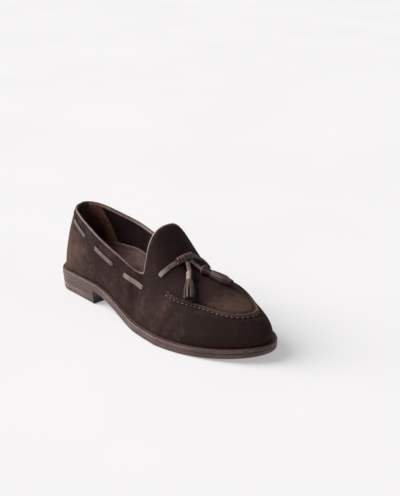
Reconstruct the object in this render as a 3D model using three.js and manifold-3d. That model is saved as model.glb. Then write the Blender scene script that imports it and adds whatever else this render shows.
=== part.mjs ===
// Suede slip-on shoe with two tassels, for the right foot.
// Millimetres. +X points to the toe, +Y to the inner side of the foot, +Z up.
// The origin lies on the floor under the middle of the sole.
import * as THREE from 'three';
import { mergeVertices } from 'three/addons/utils/BufferGeometryUtils.js';
import Module from 'manifold-3d';

// Overall sizes
const shoeLength = 300;
const ballWidth = 106;
const instepHeight = 100;

// Sole and heel
const heelHeight = 15;
const topLiftThickness = 4.5;
const outsoleThickness = 5.2;
const weltThickness = 3.3;
const edgeRound = 0.9;
const heelTaper = 1.6;
const heelTopInset = 0.4;
const toeSpring = 7;
const breastFromBack = 77;
const flatFromBack = 166;
const flatLength = 56;
const weltCover = 9;

// Upper, board and edges
const wall = 2;
const seamHeight = 2;
const insoleThickness = 2.6;
const bindingWidth = 2.9;
const bindingDepth = 2.2;
const clearance = 0.3;

// Laces and tassels
const laceWidth = 4.6;
const laceThickness = 1.7;
const laceSeat = 0.6;
const knotRadius = 3.9;
const knotLength = 12;
const knotWraps = 4;
const cordDiameter = 2.8;
const capLength = 12;
const capRadius = 3.9;
const fringeLength = 25;
const fringeWidth = 12.4;
const fringeHeight = 7.6;
const fringeStrips = 9;
const stripWidth = 2.6;
const stripThickness = 1.1;
const stripProud = 0.33;

// Profiles. at: share of one wrap's or the cap's length. radius: share of the full radius.
const wrapProfile = [
  { at: 0.06, radius: 0.86 },
  { at: 0.3, radius: 1 },
  { at: 0.7, radius: 1 },
  { at: 0.94, radius: 0.86 },
];
const capProfile = [
  { at: 0, radius: 0.5 },
  { at: 0.07, radius: 0.86 },
  { at: 0.16, radius: 0.95 },
  { at: 0.2, radius: 1 },
  { at: 0.5, radius: 0.94 },
  { at: 0.8, radius: 1 },
  { at: 0.86, radius: 0.9 },
  { at: 1, radius: 0.94 },
];

// The fringe: its neck as a share of the cap's radius, how early it flares, how uneven its strips end,
// and the places along its length where its core and its strips have a section.
const fringeNeck = 0.72;
const fringeFlare = 0.8;
const stripUneven = 0.05;
const coreStops = [0, 0.5, 0.9];
const stripStops = [0.01, 0.35, 0.7, 1];

// Half widths of the sole. at: share of the length from the heel back. half: share of the ball width.
const outerSide = [
  { at: 0.11, half: 0.2925 },
  { at: 0.233, half: 0.321 },
  { at: 0.333, half: 0.349 },
  { at: 0.433, half: 0.402 },
  { at: 0.54, half: 0.4745 },
  { at: 0.657, half: 0.5236 },
];
const innerSide = [
  { at: 0.11, half: 0.2877 },
  { at: 0.233, half: 0.297 },
  { at: 0.333, half: 0.2765 },
  { at: 0.433, half: 0.283 },
  { at: 0.54, half: 0.3585 },
  { at: 0.62, half: 0.434 },
  { at: 0.7, half: 0.4764 },
];

// How far the upper stands in from the sole's edge, as a share of the ball width.
const ledge = [
  { at: 0, width: 0.034 },
  { at: 0.17, width: 0.04 },
  { at: 0.3, width: 0.036 },
  { at: 0.5, width: 0.049 },
  { at: 0.7, width: 0.052 },
  { at: 0.9, width: 0.049 },
  { at: 1, width: 0.043 },
];

// Sections of the upper. crest: height as a share of the instep height. shift, outer, inner: shares of the
// ball width, for the crest's place and the fullness of each side. plan, rise: squareness of the section.
const sections = [
  { at: 0, crest: 0.956, shift: 0.018, plan: 1.52, rise: 1.4, outer: -0.045, inner: -0.045 },
  { at: 0.17, crest: 1.225, shift: 0.036, plan: 2.02, rise: 2.24, outer: 0.005, inner: 0.013 },
  { at: 0.3, crest: 1.265, shift: 0.05, plan: 2.33, rise: 2.75, outer: 0.008, inner: 0.078 },
  { at: 0.45, crest: 1.115, shift: 0.09, plan: 2.46, rise: 2.66, outer: -0.041, inner: 0.096 },
  { at: 0.52, crest: 1.02, shift: 0.124, plan: 2.3, rise: 2.43, outer: -0.108, inner: 0.089 },
  { at: 0.6, crest: 0.766, shift: 0.114, plan: 1.9, rise: 1.95, outer: -0.066, inner: 0.058 },
  { at: 0.67, crest: 0.624, shift: 0.101, plan: 1.98, rise: 1.82, outer: -0.021, inner: 0.04 },
  { at: 0.78, crest: 0.565, shift: 0.094, plan: 2.25, rise: 1.66, outer: 0.002, inner: 0.032 },
  { at: 0.9, crest: 0.436, shift: 0.078, plan: 2.49, rise: 1.94, outer: 0.014, inner: 0.01 },
  { at: 1, crest: 0.364, shift: 0.067, plan: 2.63, rise: 2.31, outer: 0.009, inner: 0.009 },
];

// Height of the collar's edge on each side, as a share of the instep height.
const collar = [
  { at: 0.047, outer: 0.974, inner: 0.974 },
  { at: 0.133, outer: 0.899, inner: 0.933 },
  { at: 0.233, outer: 0.828, inner: 0.842 },
  { at: 0.333, outer: 0.731, inner: 0.752 },
  { at: 0.433, outer: 0.632, inner: 0.632 },
  { at: 0.513, outer: 0.522, inner: 0.57 },
];

// Height of the apron's seam up each section. along: share of the way from the tab's edge to the toe.
const seamStart = 0.17;
const seamFull = 0.32;
const apronSeam = [
  { along: 0.2, outer: 0.46, inner: 0.55 },
  { along: 0.34, outer: 0.53, inner: 0.61 },
  { along: 0.5, outer: 0.6, inner: 0.68 },
  { along: 0.62, outer: 0.655, inner: 0.72 },
  { along: 0.8, outer: 0.76, inner: 0.76 },
  { along: 0.9, outer: 0.79, inner: 0.79 },
  { along: 1, outer: 0.795, inner: 0.795 },
];

// The footbed, cupped over the heel and the arch. at: share of the length from the heel back. The heights
// above the sole are shares of the instep height: of its rim on each side and of its hollow.
const footbed = [
  { at: 0, outer: 0.15, inner: 0.17, hollow: 0.11 },
  { at: 0.14, outer: 0.18, inner: 0.255, hollow: 0.12 },
  { at: 0.28, outer: 0.17, inner: 0.262, hollow: 0.12 },
  { at: 0.38, outer: 0.13, inner: 0.215, hollow: 0.1 },
  { at: 0.5, outer: 0.075, inner: 0.12, hollow: 0.06 },
  { at: 0.63, outer: 0.035, inner: 0.045, hollow: 0.032 },
  { at: 0.75, outer: 0.026, inner: 0.026, hollow: 0.026 },
  { at: 1, outer: 0.026, inner: 0.026, hollow: 0.026 },
];
const hollowWidth = 0.62;

// Lace showing through the sides. from, to: shares of the way round from the heel back to the toe tip.
// The drops below the collar's edge are shares of the instep height.
const laceBars = [
  { name: 'rear', from: 0.167, to: 0.26, dropFrom: 0.095, dropTo: 0.13 },
  { name: 'middle', from: 0.317, to: 0.405, dropFrom: 0.137, dropTo: 0.14 },
  { name: 'front', from: 0.458, to: 0.534, dropFrom: 0.134, dropTo: 0.094 },
];

// The strap over the vamp. over: 0 at the sole on the outer side, 1 at the crest, 2 at the sole on the
// inner side. along: share of the way round from the heel back to the toe tip.
const strapRoute = [
  { over: 0.47, along: 0.586 },
  { over: 0.6, along: 0.596 },
  { over: 0.73, along: 0.602 },
  { over: 0.85, along: 0.606 },
  { over: 1, along: 0.606 },
  { over: 1.15, along: 0.606 },
  { over: 1.27, along: 0.602 },
  { over: 1.4, along: 0.596 },
  { over: 1.53, along: 0.586 },
];
const strapBreak = { from: 0.81, to: 0.975 };

// The knot lies on the crest; the cords leave it and end in the tassels, which rest on the apron.
const knotCentre = new THREE.Vector3(36.9, 3, 75.3);
const knotAxis = new THREE.Vector3(0.6, 14, 2.2).normalize();
const tassels = [
  {
    name: 'outer',
    cord: [[40.6, 1.4, 72.5], [43.6, -0.4, 70.4], [47, -2.6, 68], [50.7, -4.7, 65.4]],
    neck: [51, -5, 65.1],
    tip: [76.4, -31.2, 49.4],
    up: [0.2, -0.36, 0.91],
  },
  {
    name: 'inner',
    cord: [[40.7, 5.9, 73], [44, 7.2, 70.3], [48.4, 8.6, 67.7], [52, 9.3, 66.4], [54.9, 9.6, 65.7]],
    neck: [55.2, 9.6, 65.6],
    tip: [89.5, 15.1, 59.9],
    up: [0.15, 0.01, 0.99],
  },
];

// Shares of the length at which the heel's and the toe's sections gather, and where the ends begin.
const heelGather = 0.104;
const heelEnd = 0.167;
const toeGather = 0.877;
const toeEnd = 0.633;
const heelAxisShift = 0.0217 * ballWidth;
const toeShift = 0.0434 * ballWidth;
const tabLow = 0.52;
const tabHigh = 0.5167;
const tabBow = 0.0037;

// The outline is a rounded heel, a side through the table's rows and a rounded toe.
const heelShare = 0.18;
const ballShare = 0.66;
const heelRoundness = 2.15;
const toeRoundness = 1.88;
const endBlend = 0.1;
const outerSign = -1;
const innerSign = 1;

const half = shoeLength / 2;
const soleThickness = outsoleThickness + weltThickness + clearance;
const breastX = breastFromBack - half;
const flatX = flatFromBack - half;

const clamp = THREE.MathUtils.clamp;
const mix = THREE.MathUtils.lerp;
const ease = (k) => THREE.MathUtils.smoothstep(k, 0, 1);
const share = (x) => x / shoeLength + 0.5;
const place = (at) => (at - 0.5) * shoeLength;

// A smooth curve through one column of a table, straight at its ends.
function follow(table, key, column, where) {
  const count = table.length;
  let i = 0;
  while (i < count - 2 && where >= table[i + 1][key]) {
    i += 1;
  }
  const slope = (n) => {
    const a = table[Math.max(n - 1, 0)];
    const b = table[Math.min(n + 1, count - 1)];
    return (b[column] - a[column]) / (b[key] - a[key]);
  };
  const span = table[i + 1][key] - table[i][key];
  const t = clamp((where - table[i][key]) / span, 0, 1);
  const a = (2 * t ** 3 - 3 * t ** 2 + 1) * table[i][column];
  const b = (t ** 3 - 2 * t ** 2 + t) * span * slope(i);
  const c = (3 * t ** 2 - 2 * t ** 3) * table[i + 1][column];
  const d = (t ** 3 - t ** 2) * span * slope(i + 1);
  return a + b + c + d;
}

// The value between low and high at which a rising test passes zero.
const lowest = 0.02;
const highest = 0.97;
function solve(test, low, high) {
  for (let n = 0; n < 36; n += 1) {
    const middle = (low + high) / 2;
    if (test(middle) > 0) {
      high = middle;
    } else {
      low = middle;
    }
  }
  return (low + high) / 2;
}

// Underside of the outsole: raised over the heel, flat under the ball, lifted at the toe.
function underside(x) {
  const arch = ease((flatX - x) / (flatX - breastX));
  const toe = clamp((x - flatX - flatLength) / (half - flatX - flatLength), 0, 1);
  return heelHeight * arch + toeSpring * toe ** 2;
}

const soleTop = (x) => underside(x) + soleThickness;

// A point of the sole's edge. s runs from 0 at the heel back to 1 at the toe tip.
function edgePoint(s, side) {
  const table = side === outerSign ? outerSide : innerSide;
  const first = table[0];
  const last = table[table.length - 1];
  const heelX = place(first.at);
  const ballX = place(last.at);
  let x = mix(heelX, ballX, (s - heelShare) / (ballShare - heelShare));
  let width = follow(table, 'at', 'half', share(x));
  if (s < heelShare) {
    const a = (s / heelShare) * (Math.PI / 2);
    x = heelX - (half + heelX) * Math.max(Math.cos(a), 0) ** (2 / heelRoundness);
    width = first.half * Math.sin(a) ** (2 / heelRoundness);
  } else if (s > ballShare) {
    const a = ((1 - s) / (1 - ballShare)) * (Math.PI / 2);
    x = ballX + (half - ballX) * Math.max(Math.cos(a), 0) ** (2 / toeRoundness);
    width = last.half * Math.sin(a) ** (2 / toeRoundness);
  }
  const bend = ease((share(x) - toeEnd) / (1 - toeEnd));
  return new THREE.Vector2(x, side * width * ballWidth + heelAxisShift + toeShift * bend);
}

// The sole's edge moved inwards by inset.
function outline(s, side, inset = 0) {
  const step = 1e-4;
  const ahead = edgePoint(Math.min(s + step, 1), side);
  const behind = edgePoint(Math.max(s - step, 0), side);
  const run = ahead.sub(behind).normalize();
  const point = edgePoint(s, side);
  return new THREE.Vector2(point.x + inset * run.y * side, point.y - inset * run.x * side);
}

const ledgeWidth = (s, side) => ballWidth * follow(ledge, 'at', 'width', share(edgePoint(s, side).x));
const feather = (s, side) => outline(s, side, ledgeWidth(s, side));

// Where a section's crest stands along the shoe.
function spineX(s) {
  const x = (edgePoint(s, outerSign).x + edgePoint(s, innerSign).x) / 2;
  const toeFrom = place(toeEnd);
  const heelFrom = place(heelEnd);
  if (x > toeFrom) {
    const k = Math.sin(((x - toeFrom) / (half - toeFrom)) * (Math.PI / 2));
    return mix(toeFrom, place(toeGather), k);
  }
  if (x < heelFrom) {
    const k = Math.sin(((heelFrom - x) / (half + heelFrom)) * (Math.PI / 2));
    return mix(heelFrom, place(heelGather), k);
  }
  return x;
}

// A point of the upper's outside. t runs from 0 at the sole to 1 at the crest.
function lastPoint(s, side, t) {
  const foot = feather(s, side);
  const x0 = spineX(s);
  const at = share(x0);
  const y0 = ballWidth * follow(sections, 'at', 'shift', at);
  const angle = (t * Math.PI) / 2;
  const rise = Math.sin(angle) ** (2 / follow(sections, 'at', 'rise', at));
  const reach = Math.max(Math.cos(angle), 0) ** (2 / follow(sections, 'at', 'plan', at));
  const outer = follow(sections, 'at', 'outer', at);
  const inner = follow(sections, 'at', 'inner', at);
  const common = (outer + inner) / 2;
  const own = (side === outerSign ? outer : inner) - common;
  const fullness = common + own * ease(s / endBlend) * ease((1 - s) / endBlend);
  const away = new THREE.Vector2(foot.x - x0, foot.y - y0);
  const swell = (ballWidth * fullness * Math.sin(Math.PI * rise)) / away.length();
  const x = x0 + away.x * (reach + swell);
  const y = y0 + away.y * (reach + swell);
  const crest = instepHeight * follow(sections, 'at', 'crest', share(x));
  return new THREE.Vector3(x, y, mix(soleTop(x), crest, rise));
}

// The outward normal on one side, and the mean of both sides where they meet.
function sideNormal(s, side, t) {
  const step = 2e-3;
  const alongS = lastPoint(Math.min(s + step, 1), side, t).sub(lastPoint(Math.max(s - step, 0), side, t));
  const alongT = lastPoint(s, side, Math.min(t + step, 1)).sub(lastPoint(s, side, Math.max(t - step, 0)));
  return alongS.cross(alongT).normalize().multiplyScalar(-side);
}

function lastNormal(s, side, t) {
  const normal = sideNormal(s, side, t);
  if (s > 0 && s < 1 && t < 1) {
    return normal;
  }
  return normal.add(sideNormal(s, -side, t)).normalize();
}

const lifted = (s, side, t, lift) => lastPoint(s, side, t).addScaledVector(lastNormal(s, side, t), lift);

// The collar's height, and how far up a section it lies.
function collarZ(x, side) {
  const at = clamp(share(x), collar[0].at, collar[collar.length - 1].at);
  return instepHeight * follow(collar, 'at', side === outerSign ? 'outer' : 'inner', at);
}

function collarShare(s, side) {
  const edgeDrop = bindingDepth + clearance;
  const above = (t) => {
    const point = lastPoint(s, side, t);
    return point.z + edgeDrop - collarZ(point.x, side);
  };
  return solve(above, lowest, highest);
}

// The tab's rear edge, and the corner where the collar runs into it.
function tabEdge(t) {
  const at = mix(tabLow, tabHigh, t) - 4 * tabBow * t * (1 - t);
  const target = place(at) + bindingDepth + clearance;
  return solve((s) => spineX(s) - target, lowest, highest);
}

function corner(side) {
  const edgeDrop = bindingDepth + clearance;
  const above = (t) => {
    const point = lastPoint(tabEdge(t), side, t);
    return point.z + edgeDrop - collarZ(point.x, side);
  };
  const t = solve(above, lowest, highest);
  return { s: tabEdge(t), t };
}

const corners = { [outerSign]: corner(outerSign), [innerSign]: corner(innerSign) };

function seamShare(along, side) {
  const column = side === outerSign ? 'outer' : 'inner';
  const table = [{ along: 0, [column]: corners[side].t }, ...apronSeam];
  return follow(table, 'along', column, along);
}

// Rows and columns of the upper's wall.
const rearColumns = 17;
const frontColumns = 22;
const lowRows = [0, 0.1, 0.25, 0.42, 0.6, 0.77, 0.9, 0.965, 1];
const highRows = [0.05, 0.11, 0.2, 0.33, 0.48, 0.64, 0.8, 0.92, 1];
const seamRows = [{ row: 0, rise: 1 }, { row: 1, rise: 0.7 }, { row: 2, rise: 0.25 }];
const seamRow = lowRows.length - 1;
const topRow = seamRow + highRows.length;
const lastColumn = rearColumns + frontColumns;

// The place of one grid point of the wall, outside or inside.
function wallPoint(layer, side, column, row) {
  const start = corners[side];
  let s = mix(0, start.s, column / rearColumns);
  let t = 0;
  let lift = 0;
  if (column <= rearColumns && row <= seamRow) {
    const top = column === rearColumns ? start.t : collarShare(s, side);
    t = top * lowRows[row];
  } else {
    const along = (column - rearColumns) / frontColumns;
    const seam = seamShare(along, side);
    const high = row > seamRow;
    t = high ? mix(seam, 1, highRows[row - seamRow - 1]) : seam * lowRows[row];
    const from = high ? tabEdge(mix(start.t, 1, highRows[row - seamRow - 1])) : start.s;
    s = mix(from, 1, along);
    const ridge = seamRows.find((entry) => entry.row === row - seamRow);
    const fade = ease((along - seamStart) / (seamFull - seamStart));
    lift = ridge ? seamHeight * ridge.rise * fade : 0;
  }
  const inward = layer === 'inside' ? wall : 0;
  const point = lifted(s, side, t, lift - inward);
  if (row === 0) {
    point.z = soleTop(point.x) + clearance;
  }
  return point;
}

// The hollow upper: outside and inside grids joined along the sole, the collar and the tab.
function upperGeometry() {
  const places = [];
  const known = new Map();
  const faces = [];
  const vertex = (layer, side, column, row) => {
    const shared = column === 0 || column === lastColumn || row === topRow;
    const key = [layer, shared ? 0 : side, column, row].join();
    if (!known.has(key)) {
      known.set(key, places.length / 3);
      places.push(...wallPoint(layer, shared ? outerSign : side, column, row));
    }
    return known.get(key);
  };
  const quad = (a, b, c, d, flip) => {
    const ring = flip ? [d, c, b, a] : [a, b, c, d];
    for (const face of [[ring[0], ring[1], ring[2]], [ring[0], ring[2], ring[3]]]) {
      if (new Set(face).size === 3) {
        faces.push(...face);
      }
    }
  };
  for (const side of [outerSign, innerSign]) {
    const flip = side === innerSign;
    const out = (column, row) => vertex('outside', side, column, row);
    const into = (column, row) => vertex('inside', side, column, row);
    for (let i = 0; i < lastColumn; i += 1) {
      const rows = i < rearColumns ? seamRow : topRow;
      for (let j = 0; j < rows; j += 1) {
        quad(out(i, j), out(i + 1, j), out(i + 1, j + 1), out(i, j + 1), flip);
        quad(into(i, j), into(i + 1, j), into(i + 1, j + 1), into(i, j + 1), !flip);
      }
      quad(out(i + 1, 0), out(i, 0), into(i, 0), into(i + 1, 0), flip);
      if (i < rearColumns) {
        quad(out(i, seamRow), out(i + 1, seamRow), into(i + 1, seamRow), into(i, seamRow), flip);
      }
    }
    for (let j = seamRow; j < topRow; j += 1) {
      const i = rearColumns;
      quad(out(i, j), out(i, j + 1), into(i, j + 1), into(i, j), flip);
    }
  }
  return facesGeometry(places, faces);
}

function facesGeometry(places, faces) {
  const geometry = new THREE.BufferGeometry();
  geometry.setAttribute('position', new THREE.Float32BufferAttribute(places, 3));
  geometry.setIndex(faces);
  return geometry;
}

// A body through rings of points, each anticlockwise as seen from the next one. A closed body runs back
// to its first ring, any other gets a lid at each end.
function loft(rings, closed = false) {
  const count = rings[0].length;
  const places = rings.flat().flatMap((point) => [point.x, point.y, point.z]);
  const faces = [];
  const quad = (a, b, c, d) => {
    for (const face of [[a, b, c], [a, c, d]]) {
      if (new Set(face).size === 3) {
        faces.push(...face);
      }
    }
  };
  const bands = closed ? rings.length : rings.length - 1;
  for (let r = 0; r < bands; r += 1) {
    const here = r * count;
    const next = ((r + 1) % rings.length) * count;
    for (let k = 0; k < count; k += 1) {
      const other = (k + 1) % count;
      quad(here + k, here + other, next + other, next + k);
    }
  }
  if (!closed) {
    const top = (rings.length - 1) * count;
    for (let k = 0; k + 1 <= count - k - 1; k += 1) {
      const ladder = [k, k + 1, count - k - 1, (count - k) % count];
      quad(...ladder.map((n) => top + n));
      quad(...[...ladder].reverse());
    }
  }
  return facesGeometry(places, faces);
}

// A ring round the sole at an inset and a height above its underside, with an even number of points.
const soleSteps = 34;
const stationBunching = 0.035;
function soleRing(inset, height, insetFrom = () => 0) {
  const ring = [];
  for (let k = 0; k < 2 * soleSteps; k += 1) {
    const side = k <= soleSteps ? outerSign : innerSign;
    const step = k <= soleSteps ? k : 2 * soleSteps - k;
    const s = soleStation(step / soleSteps);
    const point = outline(s, side, inset + insetFrom(s, side));
    ring.push(new THREE.Vector3(point.x, point.y, underside(point.x) + height));
  }
  return ring;
}

// Stations lie closer together round the heel and the toe.
function soleStation(k) {
  return k - stationBunching * Math.sin(4 * Math.PI * k);
}

// The outsole, with the filler that lies inside the welt.
function outsoleGeometry() {
  const insideWelt = (s, side) => ledgeWidth(s, side) + weltCover + clearance;
  return loft([
    soleRing(edgeRound, 0),
    soleRing(0, edgeRound),
    soleRing(0, outsoleThickness - edgeRound / 2),
    soleRing(edgeRound / 2, outsoleThickness),
    soleRing(0, outsoleThickness, insideWelt),
    soleRing(0, soleThickness, insideWelt),
  ]);
}

function weltGeometry() {
  const under = outsoleThickness + clearance;
  const top = under + weltThickness;
  const innerEdge = (s, side) => ledgeWidth(s, side) + weltCover;
  return loft([
    soleRing(edgeRound / 2, under),
    soleRing(0, under + edgeRound / 2),
    soleRing(0, top - edgeRound),
    soleRing(edgeRound, top),
    soleRing(0, top, innerEdge),
    soleRing(0, under, innerEdge),
  ], true);
}

// The heel block and its lift: the sole's outline behind the breast, drawn in towards the floor.
const heelSteps = 12;
function heelRing(z) {
  const inset = mix(heelTaper, heelTopInset, z / heelHeight);
  const ring = [];
  const stationAt = (side) => solve((s) => outline(s, side, inset).x - breastX, lowest, ballShare);
  for (let k = 0; k <= 2 * heelSteps; k += 1) {
    const side = k <= heelSteps ? outerSign : innerSign;
    const step = Math.abs(heelSteps - k) / heelSteps;
    const s = stationAt(side) * step;
    const point = outline(s, side, inset);
    ring.push(new THREE.Vector3(point.x, point.y, z));
  }
  return ring.reverse();
}

const heelGeometry = (low, high) => loft([heelRing(low), heelRing(high)]);

// The footbed inside: it fills the upper's foot, a little clear of the wall, up to its rim. The last ring
// goes round its hollow.
function insoleGeometry() {
  const ring = (rimShare, inHollow = false) => {
    const points = [];
    for (let k = 0; k < 2 * soleSteps; k += 1) {
      const side = k <= soleSteps ? outerSign : innerSign;
      const step = k <= soleSteps ? k : 2 * soleSteps - k;
      const s = soleStation(step / soleSteps);
      const foot = feather(s, side);
      const bed = (column) => instepHeight * follow(footbed, 'at', column, share(foot.x));
      const rim = Math.max(bed(side === outerSign ? 'outer' : 'inner'), insoleThickness);
      const height = rimShare * rim;
      const floorZ = soleTop(foot.x) + clearance;
      const t = solve((up) => lifted(s, side, up, -wall).z - floorZ - height, 0, highest);
      const point = lifted(s, side, t, -wall - 2 * clearance);
      point.z = soleTop(point.x) + clearance + height;
      if (inHollow) {
        point.x = mix(spineX(s), point.x, hollowWidth);
        point.y = mix(heelAxisShift, point.y, hollowWidth);
        point.z = soleTop(point.x) + clearance;
        point.z += instepHeight * follow(footbed, 'at', 'hollow', share(point.x));
      }
      points.push(point);
    }
    return points;
  };
  return loft([ring(0), ring(0.5), ring(1), ring(1, true)]);
}

// A ring of points round a centre: an oval of two half axes, turning from the first axis to the second.
function oval(centre, first, firstHalf, second, secondHalf, count = 8) {
  const ring = [];
  for (let k = 0; k < count; k += 1) {
    const angle = ((k + 0.5) / count) * 2 * Math.PI;
    const point = centre.clone().addScaledVector(first, firstHalf * Math.cos(angle));
    ring.push(point.addScaledVector(second, secondHalf * Math.sin(angle)));
  }
  return ring;
}

// The rounded edge: one closed band along the collar and over the tab.
function bindingGeometry() {
  const stops = [];
  const away = clearance + bindingDepth / 2;
  const step = 0.01;
  const stop = (side, s, t, towards, reach = away) => {
    const normal = lastNormal(s, side, t);
    const centre = lifted(s, side, t, -wall / 2).addScaledVector(towards, reach);
    stops.push(oval(centre, towards, bindingDepth / 2, normal, bindingWidth / 2));
  };
  const upwards = (side, s, t) => {
    return lastPoint(s, side, t + step).sub(lastPoint(s, side, t - step)).normalize();
  };
  const rearwards = (side, s, t) => {
    return lastPoint(s - step, side, t).sub(lastPoint(s + step, side, t)).normalize();
  };
  const turn = (side) => {
    const { s, t } = corners[side];
    const up = upwards(side, s, t);
    const back = rearwards(side, s, t);
    const between = up.clone().add(back);
    const spread = between.length() / 2;
    stop(side, s, t, between.normalize(), away / spread);
  };
  const collarStop = (side, column) => {
    const s = mix(0, corners[side].s, column / rearColumns);
    const t = collarShare(s, side);
    stop(side, s, t, upwards(side, s, t));
  };
  const tabStop = (side, row) => {
    const t = mix(corners[side].t, 1, highRows[row]);
    const s = tabEdge(t);
    stop(side, s, t, rearwards(side, s, t));
  };
  const firstTabRow = 2;
  const lastTabRow = highRows.length - 1;
  for (let column = 0; column < rearColumns; column += 1) {
    collarStop(outerSign, column);
  }
  turn(outerSign);
  for (let row = firstTabRow; row <= lastTabRow; row += 1) {
    tabStop(outerSign, row);
  }
  for (let row = lastTabRow - 1; row >= firstTabRow; row -= 1) {
    tabStop(innerSign, row);
  }
  turn(innerSign);
  for (let column = rearColumns - 1; column > 0; column -= 1) {
    collarStop(innerSign, column);
  }
  return loft(stops, true);
}

// A flat lace lying on the upper, through stops that each hold a side, s and t.
function laceGeometry(stops) {
  const centres = stops.map(({ side, s, t }) => lifted(s, side, t, laceSeat + laceThickness / 2));
  const rings = stops.map(({ side, s, t }, n) => {
    const ahead = centres[Math.min(n + 1, centres.length - 1)];
    const behind = centres[Math.max(n - 1, 0)];
    const normal = lastNormal(s, side, t);
    const across = normal.clone().cross(ahead.clone().sub(behind)).normalize();
    return oval(centres[n], across, laceWidth / 2, normal, laceThickness / 2);
  });
  return loft(rings);
}

function barGeometry(bar, side) {
  const stops = [];
  const count = 5;
  for (let n = 0; n < count; n += 1) {
    const k = n / (count - 1);
    const s = mix(bar.from, bar.to, k);
    const drop = instepHeight * mix(bar.dropFrom, bar.dropTo, k);
    const t = solve((up) => {
      const point = lastPoint(s, side, up);
      return point.z + drop - collarZ(point.x, side);
    }, lowest, highest);
    stops.push({ side, s, t });
  }
  return laceGeometry(stops);
}

function strapGeometry(from, to) {
  const stops = [];
  const count = 10;
  for (let n = 0; n < count; n += 1) {
    const over = mix(from, to, n / (count - 1));
    const side = over < 1 ? outerSign : innerSign;
    const s = follow(strapRoute, 'over', 'along', over);
    stops.push({ side, s, t: over < 1 ? over : 2 - over });
  }
  return laceGeometry(stops);
}

// The knot: a barrel of wraps round the strap.
function knotGeometry() {
  const profile = [new THREE.Vector2(0, -knotLength / 2)];
  const pitch = knotLength / knotWraps;
  for (let n = 0; n < knotWraps; n += 1) {
    for (const { at, radius } of wrapProfile) {
      const y = (n + at) * pitch - knotLength / 2;
      profile.push(new THREE.Vector2(radius * knotRadius, y));
    }
  }
  profile.push(new THREE.Vector2(0, knotLength / 2));
  const segments = 12;
  return weld(new THREE.LatheGeometry(profile, segments));
}

// Keeps only the places and joins the shared ones.
function weld(geometry) {
  geometry.deleteAttribute('normal');
  geometry.deleteAttribute('uv');
  return mergeVertices(geometry, 1e-4);
}

function cordGeometry(route) {
  const path = new THREE.CatmullRomCurve3(route.map((point) => new THREE.Vector3(...point)));
  const section = new THREE.Shape();
  section.absarc(0, 0, cordDiameter / 2, 0, 2 * Math.PI);
  const options = { extrudePath: path, steps: 7, curveSegments: 4, bevelEnabled: false };
  return weld(new THREE.ExtrudeGeometry(section, options));
}

// The frame of a tassel: its start, its way, and the axes across and up.
function tasselFrame({ neck, tip, up }) {
  const start = new THREE.Vector3(...neck);
  const way = new THREE.Vector3(...tip).sub(start).normalize();
  const across = new THREE.Vector3(...up).cross(way).normalize();
  return { start, way, across, up: way.clone().cross(across).normalize() };
}

function capGeometry(tassel) {
  const frame = tasselFrame(tassel);
  const segments = 10;
  const rings = capProfile.map(({ at, radius }) => {
    const centre = frame.start.clone().addScaledVector(frame.way, at * capLength);
    return oval(centre, frame.across, radius * capRadius, frame.up, radius * capRadius, segments);
  });
  return loft(rings);
}

// The fringe: a soft core with strips fused round it, which spread towards their ends.
async function fringeGeometry(tassel) {
  const wasm = await Module();
  wasm.setup();
  const solid = (geometry) => new wasm.Manifold(new wasm.Mesh({
    numProp: 3,
    vertProperties: new Float32Array(geometry.attributes.position.array),
    triVerts: new Uint32Array(geometry.index.array),
  }));
  const frame = tasselFrame(tassel);
  const spot = (at, sideways, height) => frame.start.clone()
    .addScaledVector(frame.way, capLength + clearance + at * fringeLength)
    .addScaledVector(frame.across, sideways)
    .addScaledVector(frame.up, height);
  const neckHalf = fringeNeck * capRadius;
  const spread = (at) => ({
    wide: mix(neckHalf, fringeWidth / 2 - stripThickness, at ** fringeFlare),
    high: mix(neckHalf, fringeHeight / 2 - stripThickness, at ** fringeFlare),
  });
  const core = coreStops.map((at) => {
    const { wide, high } = spread(at);
    return oval(spot(at, 0, 0), frame.across, wide, frame.up, high);
  });
  let whole = solid(loft(core));
  for (let n = 0; n < fringeStrips; n += 1) {
    const angle = ((n + 0.5) / fringeStrips) * 2 * Math.PI;
    const cos = Math.cos(angle);
    const sin = Math.sin(angle);
    const outward = frame.across.clone().multiplyScalar(cos).addScaledVector(frame.up, sin);
    const along = frame.up.clone().multiplyScalar(cos).addScaledVector(frame.across, -sin);
    const reach = 1 - stripUneven * (n % 3);
    const rings = stripStops.map((k) => {
      const { wide, high } = spread(k * reach);
      const centre = spot(k * reach, (wide + stripProud) * cos, (high + stripProud) * sin);
      const corners = 4;
      const diagonal = Math.SQRT1_2;
      return oval(centre, outward, stripThickness * diagonal, along, stripWidth * diagonal, corners);
    });
    whole = whole.add(solid(loft(rings)));
  }
  const mesh = whole.getMesh();
  return facesGeometry([...mesh.vertProperties], [...mesh.triVerts]);
}

const group = new THREE.Group();
function add(name, geometry, colour, roughness) {
  const material = new THREE.MeshStandardMaterial({ color: colour, roughness, metalness: 0 });
  const mesh = new THREE.Mesh(geometry, material);
  mesh.name = name;
  group.add(mesh);
  return mesh;
}

const suede = '#4a3a36';
const edgeLeather = '#7a675c';
const laceLeather = '#8f7a6c';

add('outsole', outsoleGeometry(), edgeLeather, 0.55);
add('welt', weltGeometry(), edgeLeather, 0.55);
add('heel_stack', heelGeometry(topLiftThickness, heelHeight - clearance), '#6d584c', 0.55);
add('top_lift', heelGeometry(0, topLiftThickness), '#4b3c34', 0.7);
add('upper', upperGeometry(), suede, 0.95);
add('insole', insoleGeometry(), '#3f2a25', 0.5);

add('edge_binding', bindingGeometry(), '#b49a8a', 0.45);

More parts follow.
